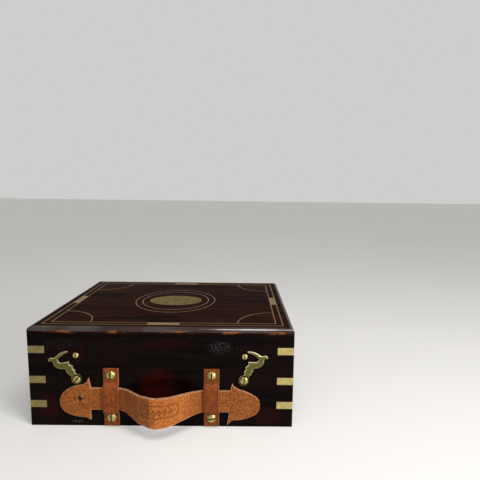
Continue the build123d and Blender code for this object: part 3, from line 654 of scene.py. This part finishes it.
def strap_mesh(strap):
    """Middle layer of the whole strap as three grids that meet: points, faces and marks.

    The ornament is sunk along the normal. Leather near the case, left of the crease and over the right end
    gets a painted shade."""
    pitch, half = strap.pitch / MM, strap.width / MM / 2
    middles = (strap.middle_left / MM, strap.middle_right / MM)
    core = int(2 * half / pitch)
    left, right = (nose_grid(*end, half, core, strap_middle(strap)) for end in zip(NOSES, NECKS, middles))
    strip = strap_strip(strap, half, middles, core, pitch)

    spine = strip[:, core // 2].copy()
    along = np.cumsum(np.hypot(*np.diff(spine[:, :2], axis=0, prepend=spine[:1, :2]).T))
    u = along - np.interp(STAMP_AT[0], spine[:, 0], along)
    stamped = ornament(u[:, None], strip[..., 2] - spine[:, 2:] - STAMP_AT[1])
    tangent = np.gradient(spine[:, :2], axis=0)
    tangent /= np.linalg.norm(tangent, axis=1, keepdims=True)
    inward = np.stack([-tangent[:, 1], tangent[:, 0]], -1)
    strip[..., :2] += stamped[..., None] * inward[:, None] * STAMP_DEPTH
    torn, flap = torn_nick(left)
    left[..., 1] += torn * (1 - flap) * NICK_DEPTH - flap * FLAP_LIFT

    grids = (left, strip, right)
    stamps = (torn * np.clip(1 - 1.3 * flap, 0, 1), stamped * 0.7, np.zeros(right.shape[:2]))
    # Painted shade: darker near the case, left of the crease as if lit from the right, and over the right
    # end.
    sheltered = [1 - np.clip((FRONT - 6 - grid[..., 1]) / 12, 0, 1) for grid in grids]
    sheltered[1] = np.maximum(sheltered[1], (strip[..., 0] < strap.crease / MM) * 0.75)
    sheltered[2] = np.maximum(sheltered[2], 0.35)
    edges = [np.zeros(grid.shape[:2]) for grid in grids]
    for edge in edges:
        edge[:, [0, -1]] = 1
    for edge in edges[::2]:
        edge[-1, :BARB_COLUMNS] = edge[-1, -BARB_COLUMNS:] = 1
    edges[0] = np.maximum(edges[0], flap * 0.7)
    starts = np.cumsum([0] + [edge.size for edge in edges])
    faces = [grid_faces(*edge.shape, start) for edge, start in zip(edges, starts)]
    faces[2] = faces[2][:, ::-1]
    marks = {"stamp": end_to_end(stamps), "edge": end_to_end(edges), "sheltered": end_to_end(sheltered)}
    return np.concatenate([grid.reshape(-1, 3) for grid in grids]), np.concatenate(faces), marks


def cut_half(whole, name, place, keep_left):
    """Copy of a closed mesh cut square at x = place, with the cut closed by a flat, sharp-edged face."""
    half = linked(name, whole.data.copy())
    shape = bmesh.new()
    shape.from_mesh(half.data)
    parts = shape.verts[:] + shape.edges[:] + shape.faces[:]
    bmesh.ops.bisect_plane(shape, geom=parts, plane_co=(place, 0, 0), plane_no=(1, 0, 0),
                           clear_outer=keep_left, clear_inner=not keep_left)
    rim = [e for e in shape.edges if len(e.link_faces) == 1]
    filled = bmesh.ops.holes_fill(shape, edges=rim, sides=0)
    for face in filled["faces"]:
        face.smooth = False
        for line in face.edges:
            line.smooth = False
    shape.to_mesh(half.data)
    shape.free()
    return half


class SextantBoxMakeStrap(bpy.types.Operator):
    """Builds the sliding leather handle, in two halves cut at the crease."""
    bl_idname = "sextant_box.make_strap"
    bl_label = "Leather handle"

    def execute(self, context):
        strap = context.scene.sextant_strap
        colours = context.scene.sextant_finish
        points, faces, marks = strap_mesh(strap)
        finish = leather("bridle_leather_tan", colours.leather, colours.leather_pale,
                         colours.leather_dark, 90.0)
        whole = object_from("strap_whole", points, faces, finish, weld=0.05, **marks)
        modify(whole, "SOLIDIFY", "leather", thickness=strap.thickness, offset=0.0)
        bevel(whole, "skived", 0.75, 3, 50)
        settle(whole)
        left = cut_half(whole, "leather_strap_left", strap.crease, True)
        right = cut_half(whole, "leather_strap_right", strap.crease, False)
        bpy.data.objects.remove(whole)
        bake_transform(left)
        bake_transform(right)
        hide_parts("strap_left_end", "grip")
        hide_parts("strap_right_end")
        return {"FINISHED"}


KEEPER_SCREWS = (11.4, 62.1)                # heights of the two screws of a keeper, mm
KEEPER_SLOPES = (15.5, 4.2), (53.4, 5.6)    # foot and length of its lower and its upper slope, mm
KEEPER_DRAWN, KEEPER_DRAWN_WIDE = 0.25, 5.4     # how far a screw draws the leather in, and how wide, mm
KEEPER_COLUMNS, KEEPER_ROWS = 23, 92


def keeper_sheet(low, high, thick):
    """Middle layer of a keeper, flat at its screws and raised over the strap, with its marks.

    It rises by 3t^2 - 2t^3 along each slope, and is drawn in by a bell exp(-r^4) round the screws."""
    x = np.linspace(low.x, high.x, KEEPER_COLUMNS) / MM
    z = np.linspace(low.z, high.z, KEEPER_ROWS) / MM
    (foot, long), (top_foot, top_long) = KEEPER_SLOPES
    slopes = [np.clip(t, 0, 1) for t in ((z - foot) / long, (top_foot - z) / top_long)]
    up = np.minimum(*[t * t * (3 - 2 * t) for t in slopes])
    rise = -(low.y / MM - FRONT) - thick
    grid_x, grid_z = np.meshgrid(x, z)
    middle = (x[0] + x[-1]) / 2
    y = FRONT - thick / 2 - rise * np.repeat(up[:, None], len(x), 1)
    for screw_z in KEEPER_SCREWS:
        reach = np.hypot(grid_x - middle, grid_z - screw_z)
        y += KEEPER_DRAWN * np.exp(-(reach / KEEPER_DRAWN_WIDE) ** 4)
    side = np.abs(grid_x - middle) / (x[-1] - middle)
    edge = 0.6 * np.clip((side - 0.93) / 0.07, 0, 1)
    hollow = 0.30 * np.exp(-((side - 0.86) / 0.12) ** 2)
    return np.stack([grid_x, y, grid_z], -1), edge, hollow


class SextantBoxMakeKeepers(bpy.types.Operator):
    """Builds the two leather keepers that the strap slides under."""
    bl_idname = "sextant_box.make_keepers"
    bl_label = "Leather keepers"

    def execute(self, context):
        colours = context.scene.sextant_finish
        finish = leather("bridle_leather_red", colours.keeper, colours.leather, colours.keeper_dark, 85.0)
        thick = context.scene.sextant_strap.keeper_thickness / MM
        # The right keeper gets a painted shade.
        for tag, shelter in (("left", 0.0), ("right", 0.3)):
            points, edge, hollow = keeper_sheet(*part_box("keeper_" + tag), thick)
            made = object_from("leather_keeper_" + tag, points, grid_faces(*edge.shape), finish,
                               edge=edge, stamp=hollow, sheltered=np.full(edge.shape, shelter))
            modify(made, "SOLIDIFY", "leather", thickness=thick * MM, offset=0.0)
            bevel(made, "skived", 0.6, 3, 50)
            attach(made, "case")
            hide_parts("keeper_" + tag)
        return {"FINISHED"}


# --- screws ---
# Heads: radius, height and height of the rim in mm. Places: x in mm, and turn of the slot in degrees.
KEEPER_HEAD, KEEPER_HEAD_SUNK = (5.3, 3.2, 0.6), 0.1
KEEPER_TURNS = {"left": (90, 90), "right": (8, 84)}     # lower and upper screw
PIVOT_HEAD, PIVOT_PLACES, PIVOT_OUT, PIVOT_Z = (4.3, 1.8, 0.4), ((-95.0, 50), (93.8, 84)), 2.9, 57.0
CATCH_HEAD, CATCH_PLACES, CATCH_OUT, CATCH_Z = (3.1, 2.0, 0.9), ((-94.6, 86), (94.2, 86)), 3.6, 86.0
BUTTON_HEAD, BUTTON_TURN = (4.0, 2.0, 0.4), 35
HINGE_RADIUS, HINGE_X, HINGE_APART = 1.8, 90, 18
# Necks and washers under the heads, as (radius, z) in mm.
PIVOT_NECK = ((0, -2.85), (3.8, -2.85), (3.8, -2.35), (1.6, -2.3), (1.6, 0), (0, 0))
BUTTON_NECK = ((0, -3.6), (4.0, -3.6), (4.0, -3.15), (1.6, -3.1), (1.6, 0), (0, 0))
CATCH_NECK = ((0, -4.6), (1.4, -4.6), (1.4, 0), (0, 0))
FACINGS = {"front": ((1, 0, 0), (0, 0, 1), (0, -1, 0)), "up": ((1, 0, 0), (0, 1, 0), (0, 0, 1)),
           "down": ((1, 0, 0), (0, -1, 0), (0, 0, -1))}
SEGMENTS = 36


def slotted_head(radius, height, rim, turn):
    """Closed slotted head on z = 0: rows across a disc, doubled at the slot so that its walls stand.

    Above the rim the top is part of a ball, and in the slot it is level."""
    screws = bpy.context.scene.sextant_screws
    half = radius * screws.slot_share / 2
    floor = height * (1 - screws.slot_depth)
    side = np.sin(np.linspace(0, 1, screws.rows) * np.pi / 2)
    rows = half + (radius - half) * side
    y = np.concatenate([-rows[::-1], [-half * 0.999, half * 0.999], rows])
    slot = np.abs(y) < half
    reach = np.sqrt(np.clip(radius ** 2 - y ** 2, 0, None))
    x = reach[:, None] * np.cos(np.linspace(np.pi, 0, 2 * screws.rows + 1))
    grid_y = np.repeat(y[:, None], x.shape[1], 1)
    far = (x ** 2 + grid_y ** 2) / radius ** 2
    cap = height - rim
    ball = (radius ** 2 + cap ** 2) / (2 * cap) if cap > 1e-6 else 1e6
    dome = rim + np.sqrt(np.clip(ball ** 2 - far * radius ** 2, 0, None)) - (ball - cap)
    top = np.where(slot[:, None], np.minimum(dome, floor), dome)
    count = x.size
    points = np.stack([[x, x], [grid_y, grid_y], [top, np.zeros_like(x)]], -1).reshape(-1, 3)
    index = np.arange(count).reshape(x.shape)
    ring = np.concatenate([index[0], index[1:, -1], index[-1, ::-1][1:], index[::-1, 0][1:-1]])
    wall = np.stack([ring, np.roll(ring, -1), np.roll(ring, -1) + count, ring + count], -1)[:, ::-1]
    faces = np.concatenate([grid_faces(*x.shape), grid_faces(*x.shape, count)[:, ::-1], wall])
    c, s = math.cos(turn), math.sin(turn)
    points[:, :2] = points[:, :2] @ np.array([[c, s], [-s, c]])
    return points, faces, np.tile(np.repeat(slot, x.shape[1]), 2)


def turned(profile):
    """Closed body of revolution about z, from (radius, z) points that start and end on the axis."""
    turn = np.arange(SEGMENTS) * 2 * np.pi / SEGMENTS
    r, z = np.asarray(profile, float).T
    points = np.stack([np.outer(np.cos(turn), r), np.outer(np.sin(turn), r), np.tile(z, (SEGMENTS, 1))], -1)
    index = np.arange(SEGMENTS * len(r)).reshape(SEGMENTS, len(r))
    index = np.concatenate([index, index[:1]])
    faces = np.stack([index[:-1, :-1], index[1:, :-1], index[1:, 1:], index[:-1, 1:]], -1).reshape(-1, 4)
    return points.reshape(-1, 3), faces, np.zeros(points[..., 0].size)


def make_screws(name, node, body, facing, finish, head, places, neck=None):
    """Like screws as one object, turned from +z to face -Y, +Z or -Z, with seams and poles welded.

    The places are pairs of a point in mm and the turn of the slot in degrees."""
    points, faces, grime, count = [], [], [], 0
    for at, turn in places:
        pieces = [slotted_head(*head, math.radians(turn))]
        if neck:
            pieces.append(turned(neck))
        for corners, sides, dark in pieces:
            points.append(corners @ np.array(FACINGS[facing], float) + at)
            faces.append(sides + count)
            grime.append(dark)
            count += len(corners)
    # The slots are made nearly black: old polish with painted shade.
    made = object_from(name, np.concatenate(points), np.concatenate(faces), finish, weld=0.001,
                       grime=np.concatenate(grime))
    bevel(made, "arris", 0.12, 2, 35)
    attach(made, body)
    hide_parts(node)


class SextantBoxMakeScrews(bpy.types.Operator):
    """Builds every slotted screw, with the necks and washers that show."""
    bl_idname = "sextant_box.make_screws"
    bl_label = "Brass screws"

    def execute(self, context):
        colours = context.scene.sextant_finish
        finish = brass("turned_brass_screws", colours.screw, 0.58, 0.36, 300.0)
        dull = brass("turned_brass_dull", colours.inlay, 0.75, 0.4, 300.0)
        foot = FRONT - context.scene.sextant_strap.keeper_thickness / MM + KEEPER_HEAD_SUNK
        for tag, turns in KEEPER_TURNS.items():
            low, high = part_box("keeper_screws_" + tag)
            x = (low.x + high.x) / 2 / MM
            make_screws("round_screws_keeper_" + tag, "keeper_screws_" + tag, "case", "front", finish,
                        KEEPER_HEAD, [((x, foot, z), turn) for z, turn in zip(KEEPER_SCREWS, turns)])
        make_screws("hook_pivots", "hook_pivot_screws", "case", "front", finish, PIVOT_HEAD,
                    [((x, FRONT - PIVOT_OUT, PIVOT_Z), turn) for x, turn in PIVOT_PLACES], PIVOT_NECK)
        make_screws("catch_screws_slotted", "catch_screws", "lid", "front", dull, CATCH_HEAD,
                    [((x, FRONT - CATCH_OUT, CATCH_Z), turn) for x, turn in CATCH_PLACES], CATCH_NECK)
        low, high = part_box("turn_button_screw")
        at = ((low.x + high.x) / 2 / MM, (low.y + high.y) / 2 / MM, high.z / MM - BUTTON_HEAD[1])
        make_screws("turn_button_pivot", "turn_button_screw", "case", "up", finish, BUTTON_HEAD,
                    [(at, BUTTON_TURN)], BUTTON_NECK)
        for node, body, facing in (("hinge_screws_base", "case", "up"), ("hinge_screws_lid", "lid", "down")):
            low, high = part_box(node)
            y = (low.y + high.y) / 2 / MM
            z = (low if facing == "up" else high).z / MM
            deep = (high.z - low.z) / MM
            places = [((side * HINGE_X + step * HINGE_APART, y, z), 25 + 40 * step + side * 30)
                      for side in (-1, 1) for step in (-1, 0, 1)]
            make_screws(node + "_slotted", node, body, facing, finish, (HINGE_RADIUS, deep, deep), places)
        return {"FINISHED"}


# --- linings ---
CLOTH_COLUMNS, CLOTH_ROWS, CLOTH_THICK, CLOTH_WAVE = 110, 90, 0.8, 0.05     # the last two in mm
PADS, PAD_HALF = (("front", -46.0), ("back", 46.0)), 7.0        # y of each pad, and half its width, mm
PAD_ROUND, PAD_LONG, PAD_SQUARE = 40, 120, 0.55


def cloth_top(low, high, z):
    """Laid cloth as a grid: level but for two long, shallow waves crossing each other."""
    x = np.linspace(low.x, high.x, CLOTH_COLUMNS) / MM
    y = np.linspace(low.y, high.y, CLOTH_ROWS) / MM
    grid_x, grid_y = np.meshgrid(x, y)
    wave = np.sin(grid_x / 19 + 0.6) * np.sin(grid_y / 23) + 0.5 * np.sin(grid_x / 7 + grid_y / 11)
    return np.stack([grid_x, grid_y, z + CLOTH_WAVE * wave], -1), grid_faces(CLOTH_ROWS, CLOTH_COLUMNS)


def pad_skin(low, high, centre):
    """Crowned pad as a closed grid round its length, from the box of both pads.

    Its half sizes go with |cos|^0.55 and |sin|^0.55, and shrink to the ends by (1 - |t|^40)^0.5."""
    turn = np.arange(PAD_ROUND) * 2 * np.pi / PAD_ROUND
    bulge, rise = (np.sign(wave) * np.abs(wave) ** PAD_SQUARE for wave in (np.cos(turn), np.sin(turn)))
    along = np.linspace(-1, 1, PAD_LONG)
    taper = np.clip(1 - np.abs(along) ** 40, 0, 1)[:, None] ** 0.5
    top = high.z / MM
    deep = top - low.z / MM
    x = np.repeat((along * high.x / MM)[:, None], PAD_ROUND, 1)
    y = centre + PAD_HALF * bulge * taper
    z = top - deep / 2 + deep / 2 * rise * taper
    return np.stack([x, y, z], -1), grid_faces(PAD_LONG, PAD_ROUND, wrap=True)


class SextantBoxMakeLinings(bpy.types.Operator):
    """Builds the green baize linings and the two padded rests in the lid."""
    bl_idname = "sextant_box.make_linings"
    bl_label = "Baize linings"

    def execute(self, context):
        finish = wool_baize("wool_baize_green", context.scene.sextant_finish.baize)
        for name, node, body, rests in (("baize_floor", "base_baize", "case", "base_bottom"),
                                        ("baize_lid", "lid_baize", "lid", "lid_panel")):
            low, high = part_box(node)
            made = object_from(name, *cloth_top(low, high, (low.z + high.z) / 2 / MM), finish)
            modify(made, "SOLIDIFY", "cloth", thickness=CLOTH_THICK * MM, offset=0.0)
            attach(made, body)
            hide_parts(node)
        for tag, centre in PADS:
            made = object_from("lid_pad_" + tag, *pad_skin(*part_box("lid_pads"), centre), finish, weld=0.001)
            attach(made, "lid")
            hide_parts("lid_pads")
        return {"FINISHED"}


# --- case, metalwork and inside fittings, kept from the frame ---
class SextantBoxDressCase(bpy.types.Operator):
    """Gives the case boards their polished rosewood and worn arrises."""
    bl_idname = "sextant_box.dress_case"
    bl_label = "Case boards"

    def execute(self, context):
        colours = context.scene.sextant_finish
        dark, mid = colours.wood_dark, colours.wood_mid
        long_grain = rosewood("rosewood_polished_long", "X", dark, mid, 0.04)
        end_boards = rosewood("rosewood_polished_ends", "Y", dark, mid, 0.04)
        for part in ("base_", "lid_"):
            for side, finish in (("front", long_grain), ("back", long_grain),
                                 ("left", end_boards), ("right", end_boards)):
                soften(dress(part + side, finish), 0.25)
        # The lid takes the figure colour as its ground and a lighter figure: painted light on the top.
        dress("lid_panel", rosewood("rosewood_lid_painted_light", "X", mid, colours.wood_lid_painted_light, 0.0012))
        dress("base_bottom", plain_wood("deal_bare", colours.deal, 9.0, 0.7))
        return {"FINISHED"}


class SextantBoxDressMetal(bpy.types.Operator):
    """Gives the inlay, straps, turn button and hinges their brass."""
    bl_idname = "sextant_box.dress_metal"
    bl_label = "Brass and inlay"

    def execute(self, context):
        colours = context.scene.sextant_finish
        # Darker on the left: painted shade.
        straps = brass("sheet_brass_straps", colours.inlay, 0.74, 0.38, 150.0, painted_shade_left=0.5)
        inlay = brass("sheet_brass_inlay", colours.stringing, 0.74, 0.45, 150.0)
        plate = brass("sheet_brass_engraved", colours.plate, 0.70, 0.50, 260.0, engraved=True)
        # Brighter brass for the turn button's rounded edges: wear with a painted highlight.
        rubbed_and_highlight = brass("turned_brass_rubbed", colours.rubbed_and_highlight, 0.86, 0.34, 300.0)
        drawn = brass("drawn_brass_hinges", colours.screw, 0.66, 0.34, 220.0)
        for name in ("border_insets", "border_line_outer", "border_line_inner", "corner_arcs",
                     "oval_ring_inner", "oval_ring_outer"):
            dress(name, inlay)
        dress("oval_plate", plate)
        for name in ("base_straps_lower", "base_straps_upper", "lid_straps"):
            soften(dress(name, straps), 0.15)
        for tag in ("left", "right"):
            for part in ("hinge_leaf_base_", "hinge_leaf_lid_", "hinge_pin_"):
                dress(part + tag, drawn)
        soften(dress("turn_button", drawn, rubbed_and_highlight), 0.5, 3, 1)
        return {"FINISHED"}


VOXEL = 0.28                            # mm
CROWN_FALL, CROWN_WIDTH = 0.55, 1.3     # how far the front falls back at the outline, and over what width, mm
RUBBED_AND_HIGHLIGHT_WIDTH, RUBBED_AND_HIGHLIGHT_FADE = 0.95, 0.5   # reach of the bright rim from the outline, and its soft part, mm: wear with a painted highlight
# How much slimmer a side the hooks are than the solids: distance from the pivot and amount, mm.
HOOK_SLIM = ((0, 0), (6.5, 0), (9, 0.75), (21, 0.75), (27, 0.15))


def joint_place(node):
    """Pivot of a hook in m, from the frame's own joint."""
    for joint in frame["record"]["behaviour"]["joints"]:
        if joint["name"] == node + "_swing":
            return joint["pos_m"]
    raise ValueError("no joint for " + node)


def cast_piece(name, node, slim):
    """Cast look of a flat metal part: the node's own shape in small voxels, smoothed so that edges roll over.

    Points move in along their flattened normal by the amounts in slim. At a distance d from the outline the
    front falls back by fall * (1 - d / width)^2. The rim mark fades inward from the outline: wear with a
    painted highlight, stronger on upward-facing edges."""
    made = linked(name, frame["nodes"][node].data.copy())
    made.data.materials.clear()
    modify(made, "WELD", "join", merge_threshold=0.01 * MM)
    modify(made, "REMESH", "cast", mode="VOXEL", voxel_size=VOXEL * MM, use_smooth_shade=True)
    modify(made, "SMOOTH", "roll_over", factor=0.5, iterations=5)
    settle(made)
    mesh = made.data
    points, normals = np.empty((2, len(mesh.vertices) * 3), np.float32)
    mesh.vertices.foreach_get("co", points)
    mesh.vertex_normals.foreach_get("vector", normals)
    points, normals = points.reshape(-1, 3) / MM, normals.reshape(-1, 3)
    pivot = np.array(joint_place(node)) / MM
    away = np.hypot(points[:, 0] - pivot[0], points[:, 2] - pivot[2])
    points[:, [0, 2]] -= normals[:, [0, 2]] * np.interp(away, *np.array(slim).T)[:, None]
    on_side = np.flatnonzero(np.abs(normals[:, 1]) < 0.4)[::3]
    side = points[on_side][:, [0, 2]]
    gaps = [((part[:, None, [0, 2]] - side) ** 2).sum(-1)
            for part in np.array_split(points, 1 + len(points) // 2000)]
    inside = np.sqrt(np.concatenate([gap.min(1) for gap in gaps]))
    upward = normals[on_side, 2][np.concatenate([gap.argmin(1) for gap in gaps])]
    front = np.clip(-normals[:, 1], 0, 1)
    points[:, 1] += front * CROWN_FALL * np.clip(1 - inside / CROWN_WIDTH, 0, 1) ** 2
    # Bright rim: wear, with a painted highlight that is stronger on upward-facing edges, as if lit from
    # above.
    rubbed_and_highlight = np.clip((RUBBED_AND_HIGHLIGHT_WIDTH - inside) / RUBBED_AND_HIGHLIGHT_FADE, 0, 1) * np.clip(0.6 + 0.5 * upward, 0.3, 1)
    rubbed_and_highlight *= np.clip((away - 6.3) / 0.8, 0.25, 1)
    mesh.vertices.foreach_set("co", (points * MM).reshape(-1))
    write_mark(mesh, "rubbed_and_highlight", rubbed_and_highlight)
    mesh.update()
    return made


class SextantBoxMakeHooks(bpy.types.Operator):
    """Builds the two cast brass hooks, with edges worn bright and given a painted highlight."""
    bl_idname = "sextant_box.make_hooks"
    bl_label = "Brass hooks"

    def execute(self, context):
        colours = context.scene.sextant_finish
        cast = brass("cast_brass_tarnished", colours.cast, 0.66, 0.40, 420.0, rubbed_and_highlight=colours.rubbed_and_highlight)
        for tag in ("left", "right"):
            made = cast_piece("hook_cast_" + tag, "hook_" + tag, HOOK_SLIM)
            made.data.materials.append(cast)
            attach(made, "hook_" + tag)
            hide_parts("hook_" + tag)
        return {"FINISHED"}


class SextantBoxDressInside(bpy.types.Operator):
    """Gives the fittings inside the case their oiled mahogany."""
    bl_idname = "sextant_box.dress_inside"
    bl_label = "Inside fittings"

    def execute(self, context):
        finish = plain_wood("mahogany_oiled", context.scene.sextant_finish.mahogany, 12.0, 0.45)
        for name in ("handle_rest", "foot_rests", "telescope_rack"):
            soften(dress(name, finish), 0.5)
        return {"FINISHED"}


# --- stage ---
FLOOR_HALF, FLOOR_DROP = 12000.0, 0.1                   # mm
CAMERA_AT = (0.08614, -0.57028, 0.26867)                # m
CAMERA_PITCH, CAMERA_YAW, CAMERA_ROLL = 0.133049, 0.009237, 0.012593    # down, right and over, radians
CAMERA_SHIFT = (-0.005475, 0.016402)
# Place, aim, width and height of each light, m.
KEY_LIGHT = ((1.15, -0.95, 0.62), (0, -0.08, 0.05), 0.6, 0.6)
STRIP_LIGHT = ((0.16, -0.39, 0.68), (0.1, -0.12, 0.11), 0.28, 0.30)


def pale_behind(node, lit, shown):
    """Strength that is one value for what lights the object and another for what is seen or mirrored."""
    rays = add("ShaderNodeLightPath", {}, node.id_data).outputs
    seen = calc("MAXIMUM", rays["Is Camera Ray"], rays["Is Glossy Ray"])
    seen = calc("MAXIMUM", seen, rays["Is Transmission Ray"])
    return add("ShaderNodeMapRange", {"Value": seen, "To Min": lit, "To Max": shown}).outputs[0]


def soft_light(name, at, aim, wide, high, power):
    """Soft light at a place, aimed at a point."""
    lamp = bpy.data.lights.new(name, "AREA")
    lamp.shape = "RECTANGLE"
    lamp.size, lamp.size_y = wide, high
    lamp.energy = power
    made = linked(name, lamp)
    made.location = at
    made.rotation_euler = (Vector(aim) - Vector(at)).to_track_quat("-Z", "Y").to_euler()


def place_camera(lens):
    """Camera that looks along +Y but for its pitch and yaw, rolled about its own line of sight."""
    camera = bpy.data.cameras.new("camera")
    camera.sensor_width = 36.0
    camera.lens = lens
    camera.shift_x, camera.shift_y = CAMERA_SHIFT
    camera.clip_start = 0.01
    viewer = linked("camera", camera)
    turn = Matrix.Rotation
    viewer.matrix_world = (Matrix.Translation(CAMERA_AT) @ turn(-CAMERA_YAW, 4, "Z")
                           @ turn(math.pi / 2 - CAMERA_PITCH, 4, "X") @ turn(CAMERA_ROLL, 4, "Z"))
    bpy.context.scene.camera = viewer


class SextantBoxMakeStage(bpy.types.Operator):
    """Builds the pale floor, the background, the soft lights and the camera."""
    bl_idname = "sextant_box.make_stage"
    bl_label = "Stage"

    def execute(self, context):
        stage = context.scene.sextant_stage
        spread = np.array([[-1, -1, 0], [1, -1, 0], [1, 1, 0], [-1, 1, 0]]) * FLOOR_HALF
        spread[:, 2] = -FLOOR_DROP
        paint, shader, place = blank("painted_floor_matt")
        floor = object_from("studio_floor", spread, [(0, 1, 2, 3)], paint)
        steer(shader, {
            "Base Color": ramp(noise(place, 3.0), (0.3, shaded(stage.floor, 0.97)), (0.7, stage.floor)),
            "Emission Color": (1.0, 0.985, 0.965, 1.0),
            "Emission Strength": pale_behind(shader, 0.0, stage.floor_glow),
            "Roughness": 0.9,
            "Specular IOR Level": 0.1})

        world = bpy.data.worlds.new("pale_background")
        world.use_nodes = True
        context.scene.world = world
        back = world.node_tree.nodes["Background"]
        steer(back, {"Color": (1.0, 0.99, 0.975, 1.0),
                     "Strength": pale_behind(back, stage.daylight, stage.backdrop)})

        soft_light("key_softbox", *KEY_LIGHT, stage.key)
        soft_light("edge_overhead", *STRIP_LIGHT, stage.rim)
        place_camera(stage.lens)
        context.scene.view_settings.view_transform = "Standard"
        return {"FINISHED"}


# --- panel and registration ---
OPERATORS = (SextantBoxMakeStage, SextantBoxDressCase, SextantBoxDressMetal, SextantBoxDressInside,
             SextantBoxMakeHooks, SextantBoxMakeStrap, SextantBoxMakeKeepers, SextantBoxMakeScrews,
             SextantBoxMakeLinings)
SETTINGS = {"sextant_strap": SextantBoxStrap, "sextant_screws": SextantBoxScrews,
            "sextant_finish": SextantBoxFinish, "sextant_stage": SextantBoxStage}


class SextantBoxPanel(bpy.types.Panel):
    """Lists the sizes, the colours and the pieces of the box."""
    bl_idname = "VIEW3D_PT_sextant_box"
    bl_label = "Sextant Box"
    bl_space_type = "VIEW_3D"
    bl_region_type = "UI"
    bl_category = "Sextant Box"

    def draw(self, context):
        for name, group in SETTINGS.items():
            box = self.layout.box()
            for key in group.__annotations__:
                box.prop(getattr(context.scene, name), key)
        for operator in OPERATORS:
            self.layout.operator(operator.bl_idname)


CLASSES = (*SETTINGS.values(), *OPERATORS, SextantBoxPanel)


def register():
    for each in CLASSES:
        bpy.utils.register_class(each)
    for name, group in SETTINGS.items():
        setattr(bpy.types.Scene, name, PointerProperty(type=group))


def unregister():
    for name in SETTINGS:
        delattr(bpy.types.Scene, name)
    for each in reversed(CLASSES):
        bpy.utils.unregister_class(each)


def main():
    """Builds everything in order."""
    register()
    for operator in OPERATORS:
        getattr(bpy.ops.sextant_box, operator.bl_idname.split(".")[1])()


if __name__ == "__main__":
    main()
